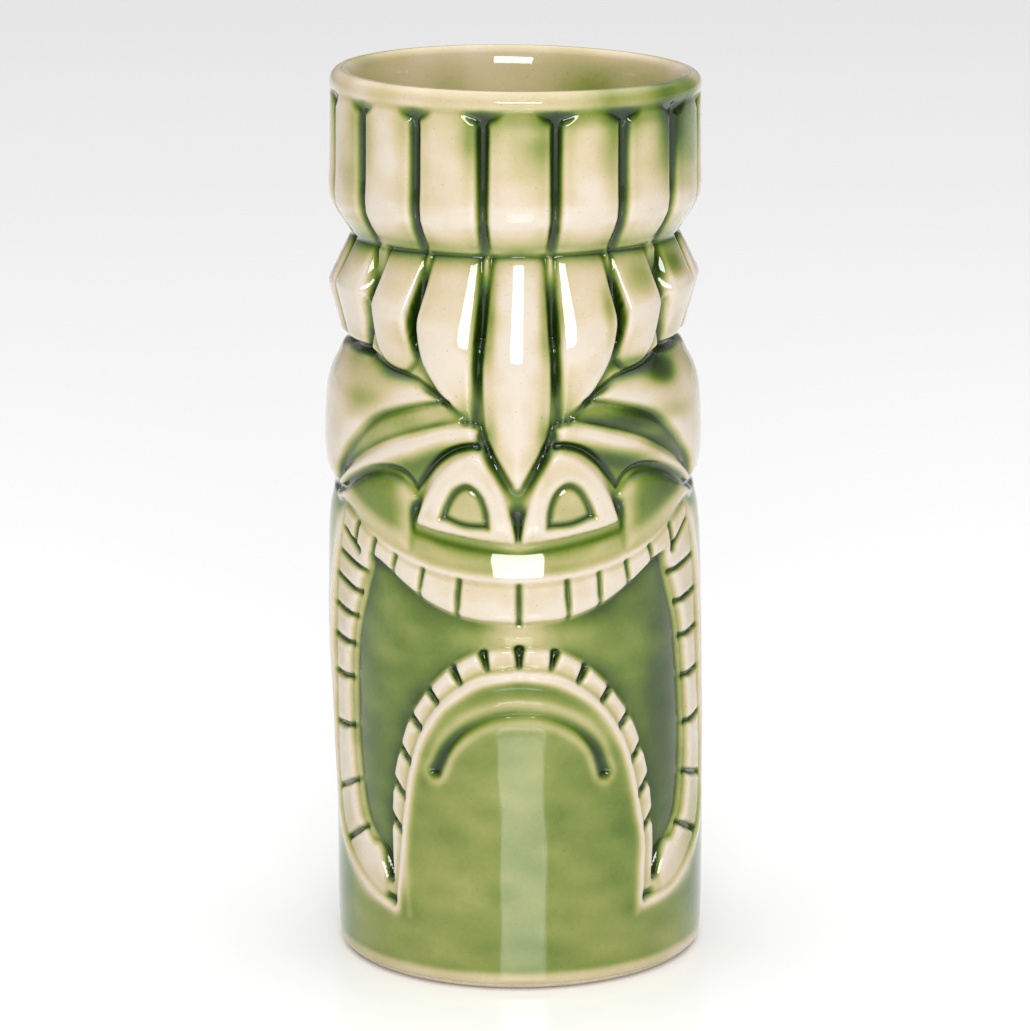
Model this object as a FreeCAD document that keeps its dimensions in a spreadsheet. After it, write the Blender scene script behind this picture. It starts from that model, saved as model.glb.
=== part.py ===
import FreeCAD, Part

import math
import os

import Sketcher

# A tall ceramic bar mug with a carved-looking face in relief, slip-cast in one piece and glazed.
# Millimetres. The axis of the mug is Z, it stands on Z = 0, and the face looks along -Y.
#
# The relief is drawn on a flat pattern that wraps round the mug: s is the distance along the wrap from the
# middle of the face, positive towards +X, and z is the height. The pattern lies at pattern_radius.

SIZES = [
    # the casting and its coats
    ("mug_height", 168.0),
    ("glaze_coat", 0.35),          # thickness of glaze on every face
    ("step_coat", 0.25),           # the same, on the steep sides of the relief
    ("pattern_radius", 34.6),
    ("relief_root_radius", 28.0),   # outlines of raised pieces start this deep
    ("relief_inner_radius", 28.5),  # raised pieces are rooted this deep, inside the wall
    ("relief_outer_radius", 38.0),  # cutters reach out this far, clear of the mug
    # plain form under the relief, from the foot to the lip
    ("recess_radius", 27.5),       # shallow hollow under the base
    ("recess_height", 1.2),
    ("foot_inner_radius", 28.5),
    ("foot_outer_radius", 32.8),
    ("foot_round", 1.9),
    ("foot_edge_radius", 34.5),
    ("foot_edge_height", 1.8),
    ("glaze_edge_radius", 34.35),
    ("glaze_edge_height", 1.2),    # bare clay below this
    ("base_radius", 34.9),
    ("base_height", 12.0),
    ("jaw_height", 34.0),
    ("belly_arc", 560.0),
    ("temple_radius", 34.7),
    ("temple_height", 86.0),
    ("crease_radius", 33.65),      # narrow waist under the brow
    ("crease_height", 90.4),
    ("brow_low_radius", 35.0),
    ("brow_low_height", 94.0),
    ("brow_arc", 62.0),
    ("brow_high_radius", 34.3),
    ("brow_high_height", 112.0),
    ("waist_radius", 31.7),        # waist between the brow and the ridges
    ("waist_height", 118.0),
    ("ridge_floor_radius", 30.7),  # bottom of the gaps between the ridges
    ("ridge_floor_low", 119.5),
    ("ridge_floor_high", 138.0),
    ("panel_floor_radius", 33.2),  # bottom of the gaps between the headdress panels
    ("panel_floor_low", 143.5),
    ("panel_floor_high", 162.2),
    ("rim_radius", 34.5),
    ("rim_low_height", 163.6),
    ("rim_high_height", 165.7),
    ("lip_round", 2.3),
    ("crown_radius", 32.2),        # top of the lip, where the two glazes meet
    ("cutter_top_height", 172.0),
    # the cup inside
    ("floor_radius", 23.9),
    ("floor_height", 5.3),
    ("floor_round", 6.0),
    ("cup_radius", 29.9),
    ("cup_floor_height", 11.3),
    ("cup_shoulder_height", 104.0),
    ("neck_radius", 27.2),
    ("neck_low_height", 113.0),
    ("neck_high_height", 139.0),
    ("mouth_radius", 29.8),
    ("mouth_low_height", 147.0),
    ("mouth_high_height", 165.6),
    ("mouth_round", 2.4),
    # headdress: panels over ridges, the same number all round
    ("panel_count", 16),
    ("panel_gap", 1.7),
    ("panel_chamfer", 2.8),
    ("panel_foot_narrowing", 0.9),  # how much narrower each half is at its foot
    ("panel_bend_narrowing", 0.3),
    ("panel_bend_rise", 3.0),
    ("panel_foot_radius", 30.9),
    ("panel_foot_height", 138.0),
    ("panel_bend_radius", 33.8),
    ("panel_bend_height", 142.0),
    ("panel_crest_radius", 34.6),
    ("panel_crest_height", 144.5),
    ("panel_face_radius", 34.35),
    ("panel_face_height", 148.0),
    ("panel_top_height", 164.6),
    ("ridge_foot_radius", 31.6),
    ("ridge_foot_height", 117.5),
    ("ridge_crest_radius", 34.7),
    ("ridge_crest_height", 129.5),
    ("ridge_head_radius", 31.0),
    ("ridge_head_height", 137.4),
    ("ridge_foot_half", 5.4),
    ("ridge_crest_half", 6.3),
    ("ridge_head_half", 5.6),
    ("front_foot_radius", 33.4),   # the four longer ridges beside the nose
    ("front_foot_height", 103.5),
    ("front_crest_radius", 34.9),
    ("front_crest_height", 126.5),
    # the face: radius of each raised face and of the floor of each hollow
    ("nose_tip_radius", 34.7),
    ("nose_tip_height", 96.0),
    ("nose_bridge_radius", 35.6),
    ("nose_bridge_height", 118.5),
    ("nose_head_radius", 31.3),
    ("nose_head_height", 137.7),
    ("eye_face_radius", 35.1),
    ("eye_face_low", 81.5),
    ("eye_face_high", 104.0),
    ("cheek_face_radius", 34.95),
    ("cheek_face_low", 78.0),
    ("cheek_face_high", 99.0),
    ("forehead_floor", 32.2),
    ("eye_bed_floor", 33.4),
    ("eye_bed_margin", 1.3),
    ("eyelid_floor", 34.5),
    ("crease_floor", 33.9),
    ("crease_width", 1.1),
    ("pupil_floor", 34.25),
    ("mouth_floor", 34.7),         # the teeth stand at this radius
    ("cavity_floor", 33.0),
    ("tooth_gap_floor", 33.8),
    ("tooth_gap_width", 0.8),
    ("chin_groove_floor", 33.9),
    ("chin_groove_width", 1.6),
]

# Outlines on the flat pattern, right-hand side (s > 0). A stroke of two points is straight, a longer one is a
# smooth curve, and strokes meet in corners.
FOREHEAD = [
    [(0, 99), (6, 100.5)],
    [(6, 100.5), (6.5, 104), (10, 107.5), (14, 111), (18, 113), (21, 115.5), (27, 116), (33, 118)],
    [(33, 118), (33, 121)],
    [(33, 121), (0, 121)],
]
NOSE = [
    [(0, 96.4), (3.5, 101.5), (6, 106), (6.5, 110), (6.6, 118)],
    [(6.6, 118), (5.4, 139)],
    [(5.4, 139), (0, 139)],
]
INNER_FRONT_RIDGE = [
    [(7, 139), (18.5, 139)],
    [(18.5, 139), (19.3, 133), (20.3, 126), (19, 119.5), (17, 115.5), (13.5, 111), (10, 107.5), (7.4, 104.6)],
    [(7.4, 104.6), (7.7, 110), (7.9, 118)],
    [(7.9, 118), (7, 139)],
]
OUTER_FRONT_RIDGE = [
    [(19.9, 139), (30.5, 139)],
    [(30.5, 139), (31.9, 128), (31, 120), (28, 117), (22, 115.5), (19.9, 117)],
    [(19.9, 117), (21.4, 126), (20.4, 133), (19.9, 139)],
]
EYE = [
    [(19.6, 88.2), (19, 90.6), (17.4, 94.2), (15, 98), (11.7, 101.2), (8.3, 102.6), (6, 102), (4, 99.3),
     (2.3, 95.3), (1, 91), (0.6, 85)],
    [(0.6, 85), (8, 86.1), (14, 87.1), (19.6, 88.2)],
]
PUPIL = [
    [(5.9, 88.6), (6, 91.5), (7.2, 94.5), (9.2, 95.9), (11.3, 95), (13, 92.5), (13.7, 90.2)],
    [(13.7, 90.2), (10, 88.9), (5.9, 88.6)],
]
CHEEK = [
    [(21.3, 85), (21.3, 94.5)],
    [(21.3, 94.5), (25, 97.2), (30, 96.6), (36, 94.1), (42, 91.2)],
    [(42, 91.2), (42, 86)],
    [(42, 86), (39.5, 84), (27, 81), (21.3, 85)],
]
LID_TOP = [(10.5, 109), (14, 111), (20, 110), (28, 107.5), (34, 103.5), (38, 100), (42, 95)]
LID_BOTTOM = [(10, 107), (18, 105.8), (26, 103), (33, 99.5), (38, 96.7), (41, 94)]
EYELID = [
    [(12, 107.5), (14, 110.6), (20, 109.6), (28, 107.1), (34, 103.1), (38, 99.6), (41, 95.5)],
    [(41, 95.5), (38, 97.1), (33, 99.9), (26, 103.4), (18, 106.2), (12, 107.5)],
]
BROW_CREASE = [(20.2, 94.8), (25, 97.6), (30, 97), (36, 94.5), (42, 91.6), (52, 90.4)]
MOUTH = [
    [(0, 78), (5, 78.2), (12, 78.9), (20, 80.6), (27, 83.1), (33, 85.9), (39, 88.6)],
    [(39, 88.6), (42, 82), (44.4, 73.5), (46.2, 64), (47.3, 52), (48, 41), (47.2, 33), (44.5, 26),
     (39, 20.6), (32.5, 16.4), (25.4, 14)],
    [(25.4, 14), (24.7, 26), (23.7, 33.5), (22.2, 41), (19.8, 48), (16.3, 53.8), (12, 58), (7, 61),
     (0, 62.2)],
]
CAVITY = [
    [(0, 70.5), (9, 71.2), (16, 73.2), (22, 76.2), (28, 79.6), (31, 80)],
    [(31, 80), (34.2, 73), (37.2, 65.5), (38.9, 56), (39.5, 46), (38.7, 38), (36.9, 30.5), (33.6, 26.5),
     (30.2, 23), (28, 19)],
    [(28, 19), (27, 19)],
    [(27, 19), (27.3, 25.5), (27.2, 32), (26.5, 39), (24.8, 45), (22.3, 51), (18.8, 56), (14.5, 60.5),
     (9.8, 63.8), (5, 65.4), (0, 66)],
]
CHIN_GROOVE = [
    (-16, 41.5), (-13.8, 46.5), (-10, 50.5), (-5, 53), (0, 53.6),
    (5, 53), (10, 50.5), (13.8, 46.5), (16, 41.5),
]

# Gaps between teeth: from the lip side to the cavity side.
UPPER_GAPS = [
    [(8.9, 78.2), (9.4, 70.4)],
    [(15.4, 79.3), (16.1, 72.2)],
    [(21, 80.6), (22, 75.4)],
    [(26.7, 82.5), (28, 79)],
    [(33.2, 85.4), (34.2, 80.8)],
]
MIDDLE_GAP = [(0, 77.4), (0, 69.8)]
SIDE_GAP_HEIGHTS = {
    -1: (77.9, 73.0, 67.6, 61.9, 55.3, 45.6, 35.4, 26.4),
    1: (83.5, 76.6, 70.4, 63.0, 54.9, 45.7, 35.4, 25.0),
}
MOUTH_MIDDLE = 44.0                # height where the mouth is widest
SIDE_GAP_INNER = 38.0              # there, s of the cavity's side and of the lip's side of the gaps
SIDE_GAP_OUTER = 47.1
CAVITY_CURVE = 6.0                 # how much nearer the middle these are at the foot of the mug
LIP_CURVE = 7.4
SIDE_GAP_TILT = 1.0                # how much higher the lip's end of a gap is
LOWER_GAPS = [
    [(0, 66.6), (0, 61.6)],
    [(6.9, 65.4), (5.8, 60.9)],
    [(13, 62.4), (11, 57.9)],
    [(18.2, 57.6), (15.6, 53.9)],
    [(22, 52), (19.2, 48.4)],
    [(24.9, 45.6), (21.7, 41.7)],
    [(26.9, 38.4), (23.3, 35)],
    [(27.7, 31), (24.2, 28.2)],
]

ZONE_OVERLAP = 1.0                 # outlines reach this far past the ring that limits them

doc = FreeCAD.newDocument("TikiMug")
sheet = doc.addObject("Spreadsheet::Sheet", "sizes")
for row, (alias, number) in enumerate(SIZES, start=1):
    sheet.set(f"A{row}", alias)
    sheet.set(f"B{row}", str(number))
    sheet.setAlias(f"B{row}", alias)
doc.recompute()


def size(alias):
    return float(sheet.get(alias))


# ---------------------------------------------------------------------------------------------------------
# Turned forms: a half section in a sketch, revolved about the axis
# ---------------------------------------------------------------------------------------------------------

def corner(radius, height, radius_coats=0, height_coats=0, bend=None, turn=1):
    """A corner of a half section, and how the outline goes on from it.

    radius and height are cells, less a number of glaze coats; None is the axis, or the ground. bend is the
    radius of the arc to the next corner, or None for a straight line. turn is 1 for an arc that runs
    anticlockwise, with +X to the right and +Z up, and -1 for one that runs clockwise.
    """
    return {"radius": (radius, radius_coats), "height": (height, height_coats), "bend": bend, "turn": turn}


def reading(cell):
    alias, coats = cell
    if alias is None:
        return 0.0
    return size(alias) - coats * size("glaze_coat")


def expression(cell):
    alias, coats = cell
    if coats == 0:
        return f"sizes.{alias}"
    return f"sizes.{alias} - ({coats}) * sizes.glaze_coat"


def backwards(path):
    """The same open path, walked from its last corner to its first."""
    turned = []
    for place, start in enumerate(reversed(path)):
        before = path[len(path) - 2 - place] if place < len(path) - 1 else None
        bend = before["bend"] if before else None
        turn = -before["turn"] if before else 1
        turned.append(dict(start, bend=bend, turn=turn))
    return turned


def segment(start, end):
    """Sketch geometry from one corner to the next."""
    first = FreeCAD.Vector(reading(start["radius"]), reading(start["height"]), 0)
    last = FreeCAD.Vector(reading(end["radius"]), reading(end["height"]), 0)
    if start["bend"] is None:
        return Part.LineSegment(first, last)
    if start["turn"] < 0:
        first, last = last, first
    chord = last - first
    half = chord.Length / 2
    radius = size(start["bend"])
    to_centre = FreeCAD.Vector(-chord.y, chord.x, 0).normalize() * math.sqrt(max(radius**2 - half**2, 0))
    centre = (first + last) / 2 + to_centre
    circle = Part.Circle(centre, FreeCAD.Vector(0, 0, 1), radius)
    return Part.ArcOfCircle(circle, circle.parameter(first), circle.parameter(last))


def end_positions(start):
    """Which end of the sketch geometry is its first corner, and which its last."""
    clockwise = start["bend"] is not None and start["turn"] < 0
    return (2, 1) if clockwise else (1, 2)


def turned_body(name, corners):
    """A PartDesign body: a half section in the XZ plane, its corners bound to the sheet, turned about Z."""
    body = doc.addObject("PartDesign::Body", name)
    sketch = body.newObject("Sketcher::SketchObject", name + "_section")
    plane = [item for item in body.Origin.OriginFeatures if item.Role == "XZ_Plane"][0]
    sketch.AttachmentSupport = [(plane, "")]
    sketch.MapMode = "FlatFace"
    count = len(corners)
    for place, start in enumerate(corners):
        sketch.addGeometry(segment(start, corners[(place + 1) % count]), False)
    for place, start in enumerate(corners):
        following = (place + 1) % count
        first = end_positions(start)[0]
        last = end_positions(start)[1]
        next_first = end_positions(corners[following])[0]
        sketch.addConstraint(Sketcher.Constraint("Coincident", place, last, following, next_first))
        for kind, axis, cell in (("DistanceX", -2, start["radius"]), ("DistanceY", -1, start["height"])):
            if cell[0] is None:
                sketch.addConstraint(Sketcher.Constraint("PointOnObject", place, first, axis))
                continue
            index = sketch.addConstraint(Sketcher.Constraint(kind, -1, 1, place, first, reading(cell)))
            sketch.setExpression(f"Constraints[{index}]", expression(cell))
        if start["bend"] is not None:
            index = sketch.addConstraint(Sketcher.Constraint("Radius", place, size(start["bend"])))
            sketch.setExpression(f"Constraints[{index}]", f"sizes.{start['bend']}")
    turned = body.newObject("PartDesign::Revolution", name + "_turned")
    turned.Profile = sketch
    turned.ReferenceAxis = (sketch, ["V_Axis"])
    turned.Angle = 360
    body.Tip = turned
    return body


def outside_path(coats):
    """The plain form from just above the foot to the crown of the lip."""
    return [
        corner("foot_edge_radius", "foot_edge_height", coats),
        corner("base_radius", "base_height", coats),
        corner("base_radius", "jaw_height", coats, bend="belly_arc"),
        corner("temple_radius", "temple_height", coats),
        corner("crease_radius", "crease_height", coats),
        corner("brow_low_radius", "brow_low_height", coats, bend="brow_arc"),
        corner("brow_high_radius", "brow_high_height", coats),
        corner("waist_radius", "waist_height", coats),
        corner("ridge_floor_radius", "ridge_floor_low", coats),
        corner("ridge_floor_radius", "ridge_floor_high", coats),
        corner("panel_floor_radius", "panel_floor_low", coats),
        corner("panel_floor_radius", "panel_floor_high", coats),
        corner("rim_radius", "rim_low_height", coats),
        corner("rim_radius", "rim_high_height", coats, bend="lip_round"),
    ]


def clay_core():
    under = [
        corner(None, "recess_height"),
        corner("recess_radius", "recess_height"),
        corner("foot_inner_radius", None),
        corner("foot_outer_radius", None, 1, bend="foot_round"),
    ]
    top = [
        corner("crown_radius", "mug_height", 0, 1),
        corner(None, "mug_height", 0, 1),
    ]
    return turned_body("clay_core", under + outside_path(1) + top)


def glazed_core():
    under = [
        corner(None, "glaze_edge_height"),
        corner("glaze_edge_radius", "glaze_edge_height"),
    ]
    top = [
        corner("crown_radius", "mug_height"),
        corner("crown_radius", "rim_high_height"),
        corner(None, "rim_high_height"),
    ]
    return turned_body("glazed_core", under + outside_path(0) + top)


def cup_path(coats):
    """The inside from the middle of the floor to the crown of the lip, some coats behind the glaze."""
    return [
        corner(None, "floor_height", 0, coats),
        corner("floor_radius", "floor_height", 0, coats, bend="floor_round"),
        corner("cup_radius", "cup_floor_height", -coats, 0),
        corner("cup_radius", "cup_shoulder_height", -coats, 0),
        corner("neck_radius", "neck_low_height", -coats, 0),
        corner("neck_radius", "neck_high_height", -coats, 0),
        corner("mouth_radius", "mouth_low_height", -coats, 0),
        corner("mouth_radius", "mouth_high_height", -coats, 0, bend="mouth_round", turn=-1),
        corner("crown_radius", "mug_height", 0, coats),
    ]


def ring_zone(name, coats, *faces):
    """A ring whose outer face gives a raised zone its heights; faces are its corners from low to high."""
    inner_low = corner("relief_inner_radius", faces[0][1])
    inner_high = corner("relief_inner_radius", faces[-1][1])
    outer = [corner(radius, height, coats) for radius, height in faces]
    return turned_body(name, [inner_low] + outer + [inner_high])


# ---------------------------------------------------------------------------------------------------------
# Wrapped pieces: flat outlines bent round the mug
# ---------------------------------------------------------------------------------------------------------

def mirrored(strokes):
    return [[(-s, z) for s, z in stroke] for stroke in strokes]


def both_halves(strokes):
    """A closed outline from its right half, whose first and last points are on the middle line."""
    left = [stroke[::-1] for stroke in mirrored(strokes)][::-1]
    return strokes + left


def pair(strokes):
    return [strokes, mirrored(strokes)]


def direction(start, end):
    length = math.dist(start, end)
    return ((end[0] - start[0]) / length, (end[1] - start[1]) / length)


def grown(strokes, distance):
    """Moves every point of a closed outline square to it, outwards for a positive distance."""
    ring = [point for stroke in strokes for point in stroke[:-1]]
    count = len(ring)
    area = sum(ring[i - 1][0] * ring[i][1] - ring[i][0] * ring[i - 1][1] for i in range(count))
    outwards = math.copysign(distance, area * distance) if distance else 0.0
    moved = []
    for place, point in enumerate(ring):
        arriving = direction(ring[place - 1], point)
        leaving = direction(point, ring[(place + 1) % count])
        normal = (arriving[1] + leaving[1], -arriving[0] - leaving[0])
        reach = max(1 + arriving[0] * leaving[0] + arriving[1] * leaving[1], 0.5)
        moved.append((point[0] + outwards * normal[0] / reach, point[1] + outwards * normal[1] / reach))
    result = []
    place = 0
    for stroke in strokes:
        steps = len(stroke) - 1
        result.append([moved[(place + step) % count] for step in range(steps + 1)])
        place += steps
    return result


def trench(path, width):
    """The outline of a groove of one width along an open path, with square ends."""
    sides = []
    for side in (1, -1):
        edge = []
        for place, point in enumerate(path):
            along = direction(path[max(place - 1, 0)], path[min(place + 1, len(path) - 1)])
            edge.append((point[0] - side * along[1] * width / 2, point[1] + side * along[0] * width / 2))
        sides.append(edge)
    left = sides[0]
    right = sides[1][::-1]
    return [left, [left[-1], right[0]], right, [right[-1], left[0]]]


def wrapped_stroke(stroke, cylinder):
    """One stroke of a flat outline as an edge on a cylinder; the middle line of the face is at -Y."""
    radius = size("pattern_radius")
    if len(stroke) == 2:
        ends = [FreeCAD.Base.Vector2d(1.5 * math.pi + s / radius, z) for s, z in stroke]
        return Part.Geom2d.Line2dSegment(ends[0], ends[1]).toShape(cylinder)
    curve = Part.Geom2d.BSplineCurve2d()
    curve.interpolate([FreeCAD.Base.Vector2d(s, z) for s, z in stroke])
    for number, pole in enumerate(curve.getPoles(), start=1):
        curve.setPole(number, FreeCAD.Base.Vector2d(1.5 * math.pi + pole.x / radius, pole.y))
    return curve.toShape(cylinder)


def wrapped_prism(strokes, low_radius, high_radius):
    """The solid between two radii inside an outline wrapped round the mug."""
    wires = []
    faces = []
    for radius in (low_radius, high_radius):
        cylinder = Part.Cylinder()
        cylinder.Radius = radius
        wire = Part.Wire([wrapped_stroke(stroke, cylinder) for stroke in strokes])
        wires.append(wire)
        faces.append(Part.Face(cylinder, wire))
    for inner, outer in zip(wires[0].OrderedEdges, wires[1].OrderedEdges):
        faces.append(Part.makeRuledSurface(inner, outer))
    shell = Part.makeShell(faces)
    shell.sewShape()
    solid = Part.Solid(shell)
    if solid.Volume < 0:
        solid.reverse()
    if not solid.isValid():
        raise RuntimeError("a wrapped prism is not a valid solid")
    return solid


def prism_group(name, prisms):
    """Wrapped prisms that don't touch each other, as one object."""
    group = doc.addObject("Part::Feature", name)
    group.Shape = Part.makeCompound(prisms)
    group.Placement = FreeCAD.Placement()
    return group


def turned_copies(prism, places):
    """The same wrapped prism at several of the evenly spaced places round the mug."""
    copies = []
    for place in places:
        copy = prism.copy()
        copy.rotate(FreeCAD.Vector(0, 0, 0), FreeCAD.Vector(0, 0, 1), place * 360 / size("panel_count"))
        copies.append(copy)
    return copies


def panel_outline():
    """A headdress panel: upright sides, cut top corners and a lower end that narrows a little."""
    half = math.pi * size("pattern_radius") / size("panel_count") - size("panel_gap") / 2
    foot_half = half - size("panel_foot_narrowing")
    bend_half = half - size("panel_bend_narrowing")
    chamfer = size("panel_chamfer")
    foot = size("panel_foot_height") - ZONE_OVERLAP
    bend = size("panel_bend_height")
    straight = bend + size("panel_bend_rise")
    top = size("panel_top_height") + ZONE_OVERLAP
    right = [
        [(0, foot), (foot_half, foot)],
        [(foot_half, foot), (bend_half, bend)],
        [(bend_half, bend), (half, straight)],
        [(half, straight), (half, top - ZONE_OVERLAP - chamfer)],
        [(half, top - ZONE_OVERLAP - chamfer), (half - chamfer, top)],
        [(half - chamfer, top), (0, top)],
    ]
    return both_halves(right)


def ridge_outline():
    foot = size("ridge_foot_height") - ZONE_OVERLAP
    head = size("ridge_head_height") + ZONE_OVERLAP
    crest = size("ridge_crest_height")
    right = [
        [(0, foot), (size("ridge_foot_half"), foot)],
        [(size("ridge_foot_half"), foot), (size("ridge_crest_half"), crest)],
        [(size("ridge_crest_half"), crest), (size("ridge_head_half"), head)],
        [(size("ridge_head_half"), head), (0, head)],
    ]
    return both_halves(right)


def side_gaps():
    """Gaps between the side teeth, from just inside the cavity to just inside the lip."""
    gaps = []
    for side, heights in SIDE_GAP_HEIGHTS.items():
        for height in heights:
            off_middle = ((height - MOUTH_MIDDLE) / MOUTH_MIDDLE) ** 2
            inner = SIDE_GAP_INNER - CAVITY_CURVE * off_middle
            outer = SIDE_GAP_OUTER - LIP_CURVE * off_middle
            inner_end = (side * inner, height - SIDE_GAP_TILT / 2)
            outer_end = (side * outer, height + SIDE_GAP_TILT / 2)
            gaps.append([inner_end, outer_end])
    return gaps


# ---------------------------------------------------------------------------------------------------------
# The two forms: the glaze surface, and the clay surface one coat inside it
# ---------------------------------------------------------------------------------------------------------

def combined(kind, name, base, tool):
    """A boolean of two objects: Part::Cut or Part::Common."""
    result = doc.addObject(kind, name)
    result.Base = base
    result.Tool = tool
    return result


def relief_form(core, coats):
    """The whole outside form as a solid without its cup, a number of coats inside the glaze surface."""
    tag = "clay" if coats else "glazed"
    inset = coats * size("glaze_coat")
    step = coats * size("step_coat")
    inner = size("relief_root_radius")
    outer = size("relief_outer_radius")

    def sunk(name, *hollows):
        prisms = []
        for floor, outlines in hollows:
            prisms += [wrapped_prism(grown(item, step), size(floor) - inset, outer) for item in outlines]
        return prism_group(f"{tag}_{name}", prisms)

    def raised(name, outlines):
        prisms = [wrapped_prism(grown(item, -step), inner, outer) for item in outlines]
        return prism_group(f"{tag}_{name}", prisms)

    def cut(base, tool):
        return combined("Part::Cut", tool.Name + "_cut", base, tool)

    def rise(tool, zone):
        return combined("Part::Common", tool.Name + "_raised", zone, tool)

    beds = [
        sunk("forehead", ("forehead_floor", [both_halves(FOREHEAD)])),
        sunk("right_eye_bed", ("eye_bed_floor", [grown(EYE, size("eye_bed_margin"))])),
        sunk("left_eye_bed", ("eye_bed_floor", [grown(mirrored(EYE), size("eye_bed_margin"))])),
    ]
    base = core
    for bed in beds:
        base = cut(base, bed)

    panel_zone = ring_zone(
        f"{tag}_panel_zone", coats,
        ("panel_foot_radius", "panel_foot_height"),
        ("panel_bend_radius", "panel_bend_height"),
        ("panel_crest_radius", "panel_crest_height"),
        ("panel_face_radius", "panel_face_height"),
        ("panel_face_radius", "panel_top_height"),
    )
    ridge_zone = ring_zone(
        f"{tag}_ridge_zone", coats,
        ("ridge_foot_radius", "ridge_foot_height"),
        ("ridge_crest_radius", "ridge_crest_height"),
        ("ridge_head_radius", "ridge_head_height"),
    )
    front_zone = ring_zone(
        f"{tag}_front_zone", coats,
        ("front_foot_radius", "front_foot_height"),
        ("front_crest_radius", "front_crest_height"),
        ("ridge_head_radius", "ridge_head_height"),
    )
    nose_zone = ring_zone(
        f"{tag}_nose_zone", coats,
        ("nose_tip_radius", "nose_tip_height"),
        ("nose_bridge_radius", "nose_bridge_height"),
        ("nose_head_radius", "nose_head_height"),
    )
    eye_zone = ring_zone(
        f"{tag}_eye_zone", coats,
        ("eye_face_radius", "eye_face_low"),
        ("eye_face_radius", "eye_face_high"),
    )
    cheek_zone = ring_zone(
        f"{tag}_cheek_zone", coats,
        ("cheek_face_radius", "cheek_face_low"),
        ("cheek_face_radius", "cheek_face_high"),
    )
    face = doc.addObject("Part::MultiFuse", f"{tag}_face")
    face.Shapes = [
        base,
        rise(raised("nose", [both_halves(NOSE)]), nose_zone),
        rise(raised("eyes", pair(EYE)), eye_zone),
        rise(raised("cheeks", pair(CHEEK)), cheek_zone),
    ]

    # Each step's hollows are clear of each other; hollows that cross are cut one step after the other.
    crease = size("crease_width")
    gap_paths = UPPER_GAPS + [MIDDLE_GAP] + side_gaps() + LOWER_GAPS
    gap_paths += [[(-s, z) for s, z in path] for path in UPPER_GAPS + LOWER_GAPS[1:]]
    steps = [
        sunk("hollows", ("eyelid_floor", pair(EYELID)), ("pupil_floor", pair(PUPIL)),
             ("mouth_floor", [both_halves(MOUTH)]),
             ("chin_groove_floor", [trench(CHIN_GROOVE, size("chin_groove_width"))])),
        sunk("upper_creases", ("crease_floor", pair(trench(LID_TOP, crease))),
             ("crease_floor", pair(trench(BROW_CREASE, crease))),
             ("cavity_floor", [both_halves(CAVITY)])),
        sunk("lower_creases", ("crease_floor", pair(trench(LID_BOTTOM, crease))),
             ("tooth_gap_floor", [trench(path, size("tooth_gap_width")) for path in gap_paths])),
    ]
    detailed = face
    for hollows in steps:
        detailed = cut(detailed, hollows)

    count = int(size("panel_count"))
    panel = wrapped_prism(grown(panel_outline(), -step), inner, outer)
    ridge = wrapped_prism(grown(ridge_outline(), -step), inner, outer)
    panels = prism_group(f"{tag}_panels", turned_copies(panel, range(count)))
    ridges = prism_group(f"{tag}_ridges", turned_copies(ridge, range(3, count - 2)))
    form = doc.addObject("Part::MultiFuse", f"{tag}_form")
    form.Shapes = [
        detailed,
        rise(panels, panel_zone),
        rise(ridges, ridge_zone),
        rise(raised("front_ridges", pair(INNER_FRONT_RIDGE) + pair(OUTER_FRONT_RIDGE)), front_zone),
    ]
    return form


def named(item, label):
    item.Label = label
    item.Placement = FreeCAD.Placement()
    return item


clay_form = relief_form(clay_core(), 1)
glazed_form = relief_form(glazed_core(), 0)
cup_cutter = turned_body("cup_cutter", cup_path(1) + [
    corner("crown_radius", "cutter_top_height"),
    corner(None, "cutter_top_height"),
])

SUB_PARTS = [
    named(combined("Part::Cut", "casting", clay_form, cup_cutter), "earthenware_body"),
    named(combined("Part::Cut", "outside_coat", glazed_form, clay_form), "outer_glaze"),
    named(turned_body("inside_coat", cup_path(0) + backwards(cup_path(1))), "liner_glaze"),
]
doc.recompute()

for item in doc.Objects:
    if "Invalid" in item.State or "Error" in item.State:
        raise RuntimeError(f"{item.Name} failed: {item.State}")
for item in SUB_PARTS:
    if item.Shape.isNull() or not item.Shape.isValid():
        raise RuntimeError(f"{item.Label} is not a valid shape")

os.makedirs("parts", exist_ok=True)
for item in SUB_PARTS:
    item.Shape.exportStep(f"parts/{item.Label}.step")
    box = item.Shape.BoundBox
    print(f"{item.Label}: {len(item.Shape.Solids)} solid, {item.Shape.Volume / 1000:.1f} cm3, "
          f"{box.XLength:.2f} x {box.YLength:.2f} x {box.ZLength:.2f}")
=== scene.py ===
import math

import bpy
import numpy as np
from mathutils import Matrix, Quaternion, Vector


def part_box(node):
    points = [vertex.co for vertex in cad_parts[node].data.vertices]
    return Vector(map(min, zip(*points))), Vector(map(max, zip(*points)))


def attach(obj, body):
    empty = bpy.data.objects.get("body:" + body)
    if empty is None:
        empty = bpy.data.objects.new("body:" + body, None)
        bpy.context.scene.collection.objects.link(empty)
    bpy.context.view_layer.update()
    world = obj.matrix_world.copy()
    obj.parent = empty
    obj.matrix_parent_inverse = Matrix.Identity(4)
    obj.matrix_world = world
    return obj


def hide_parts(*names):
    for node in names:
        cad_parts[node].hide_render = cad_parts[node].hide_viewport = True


# A glazed ceramic bar mug. Its outside is one surface r(angle, height): the plain form of the frame's mug
# with the relief modelled on it. Angles run from the middle of the face (-Y) towards +X. The relief is drawn
# on a flat pattern in millimetres: s along the wrap at PATTERN_RADIUS, z up.

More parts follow.
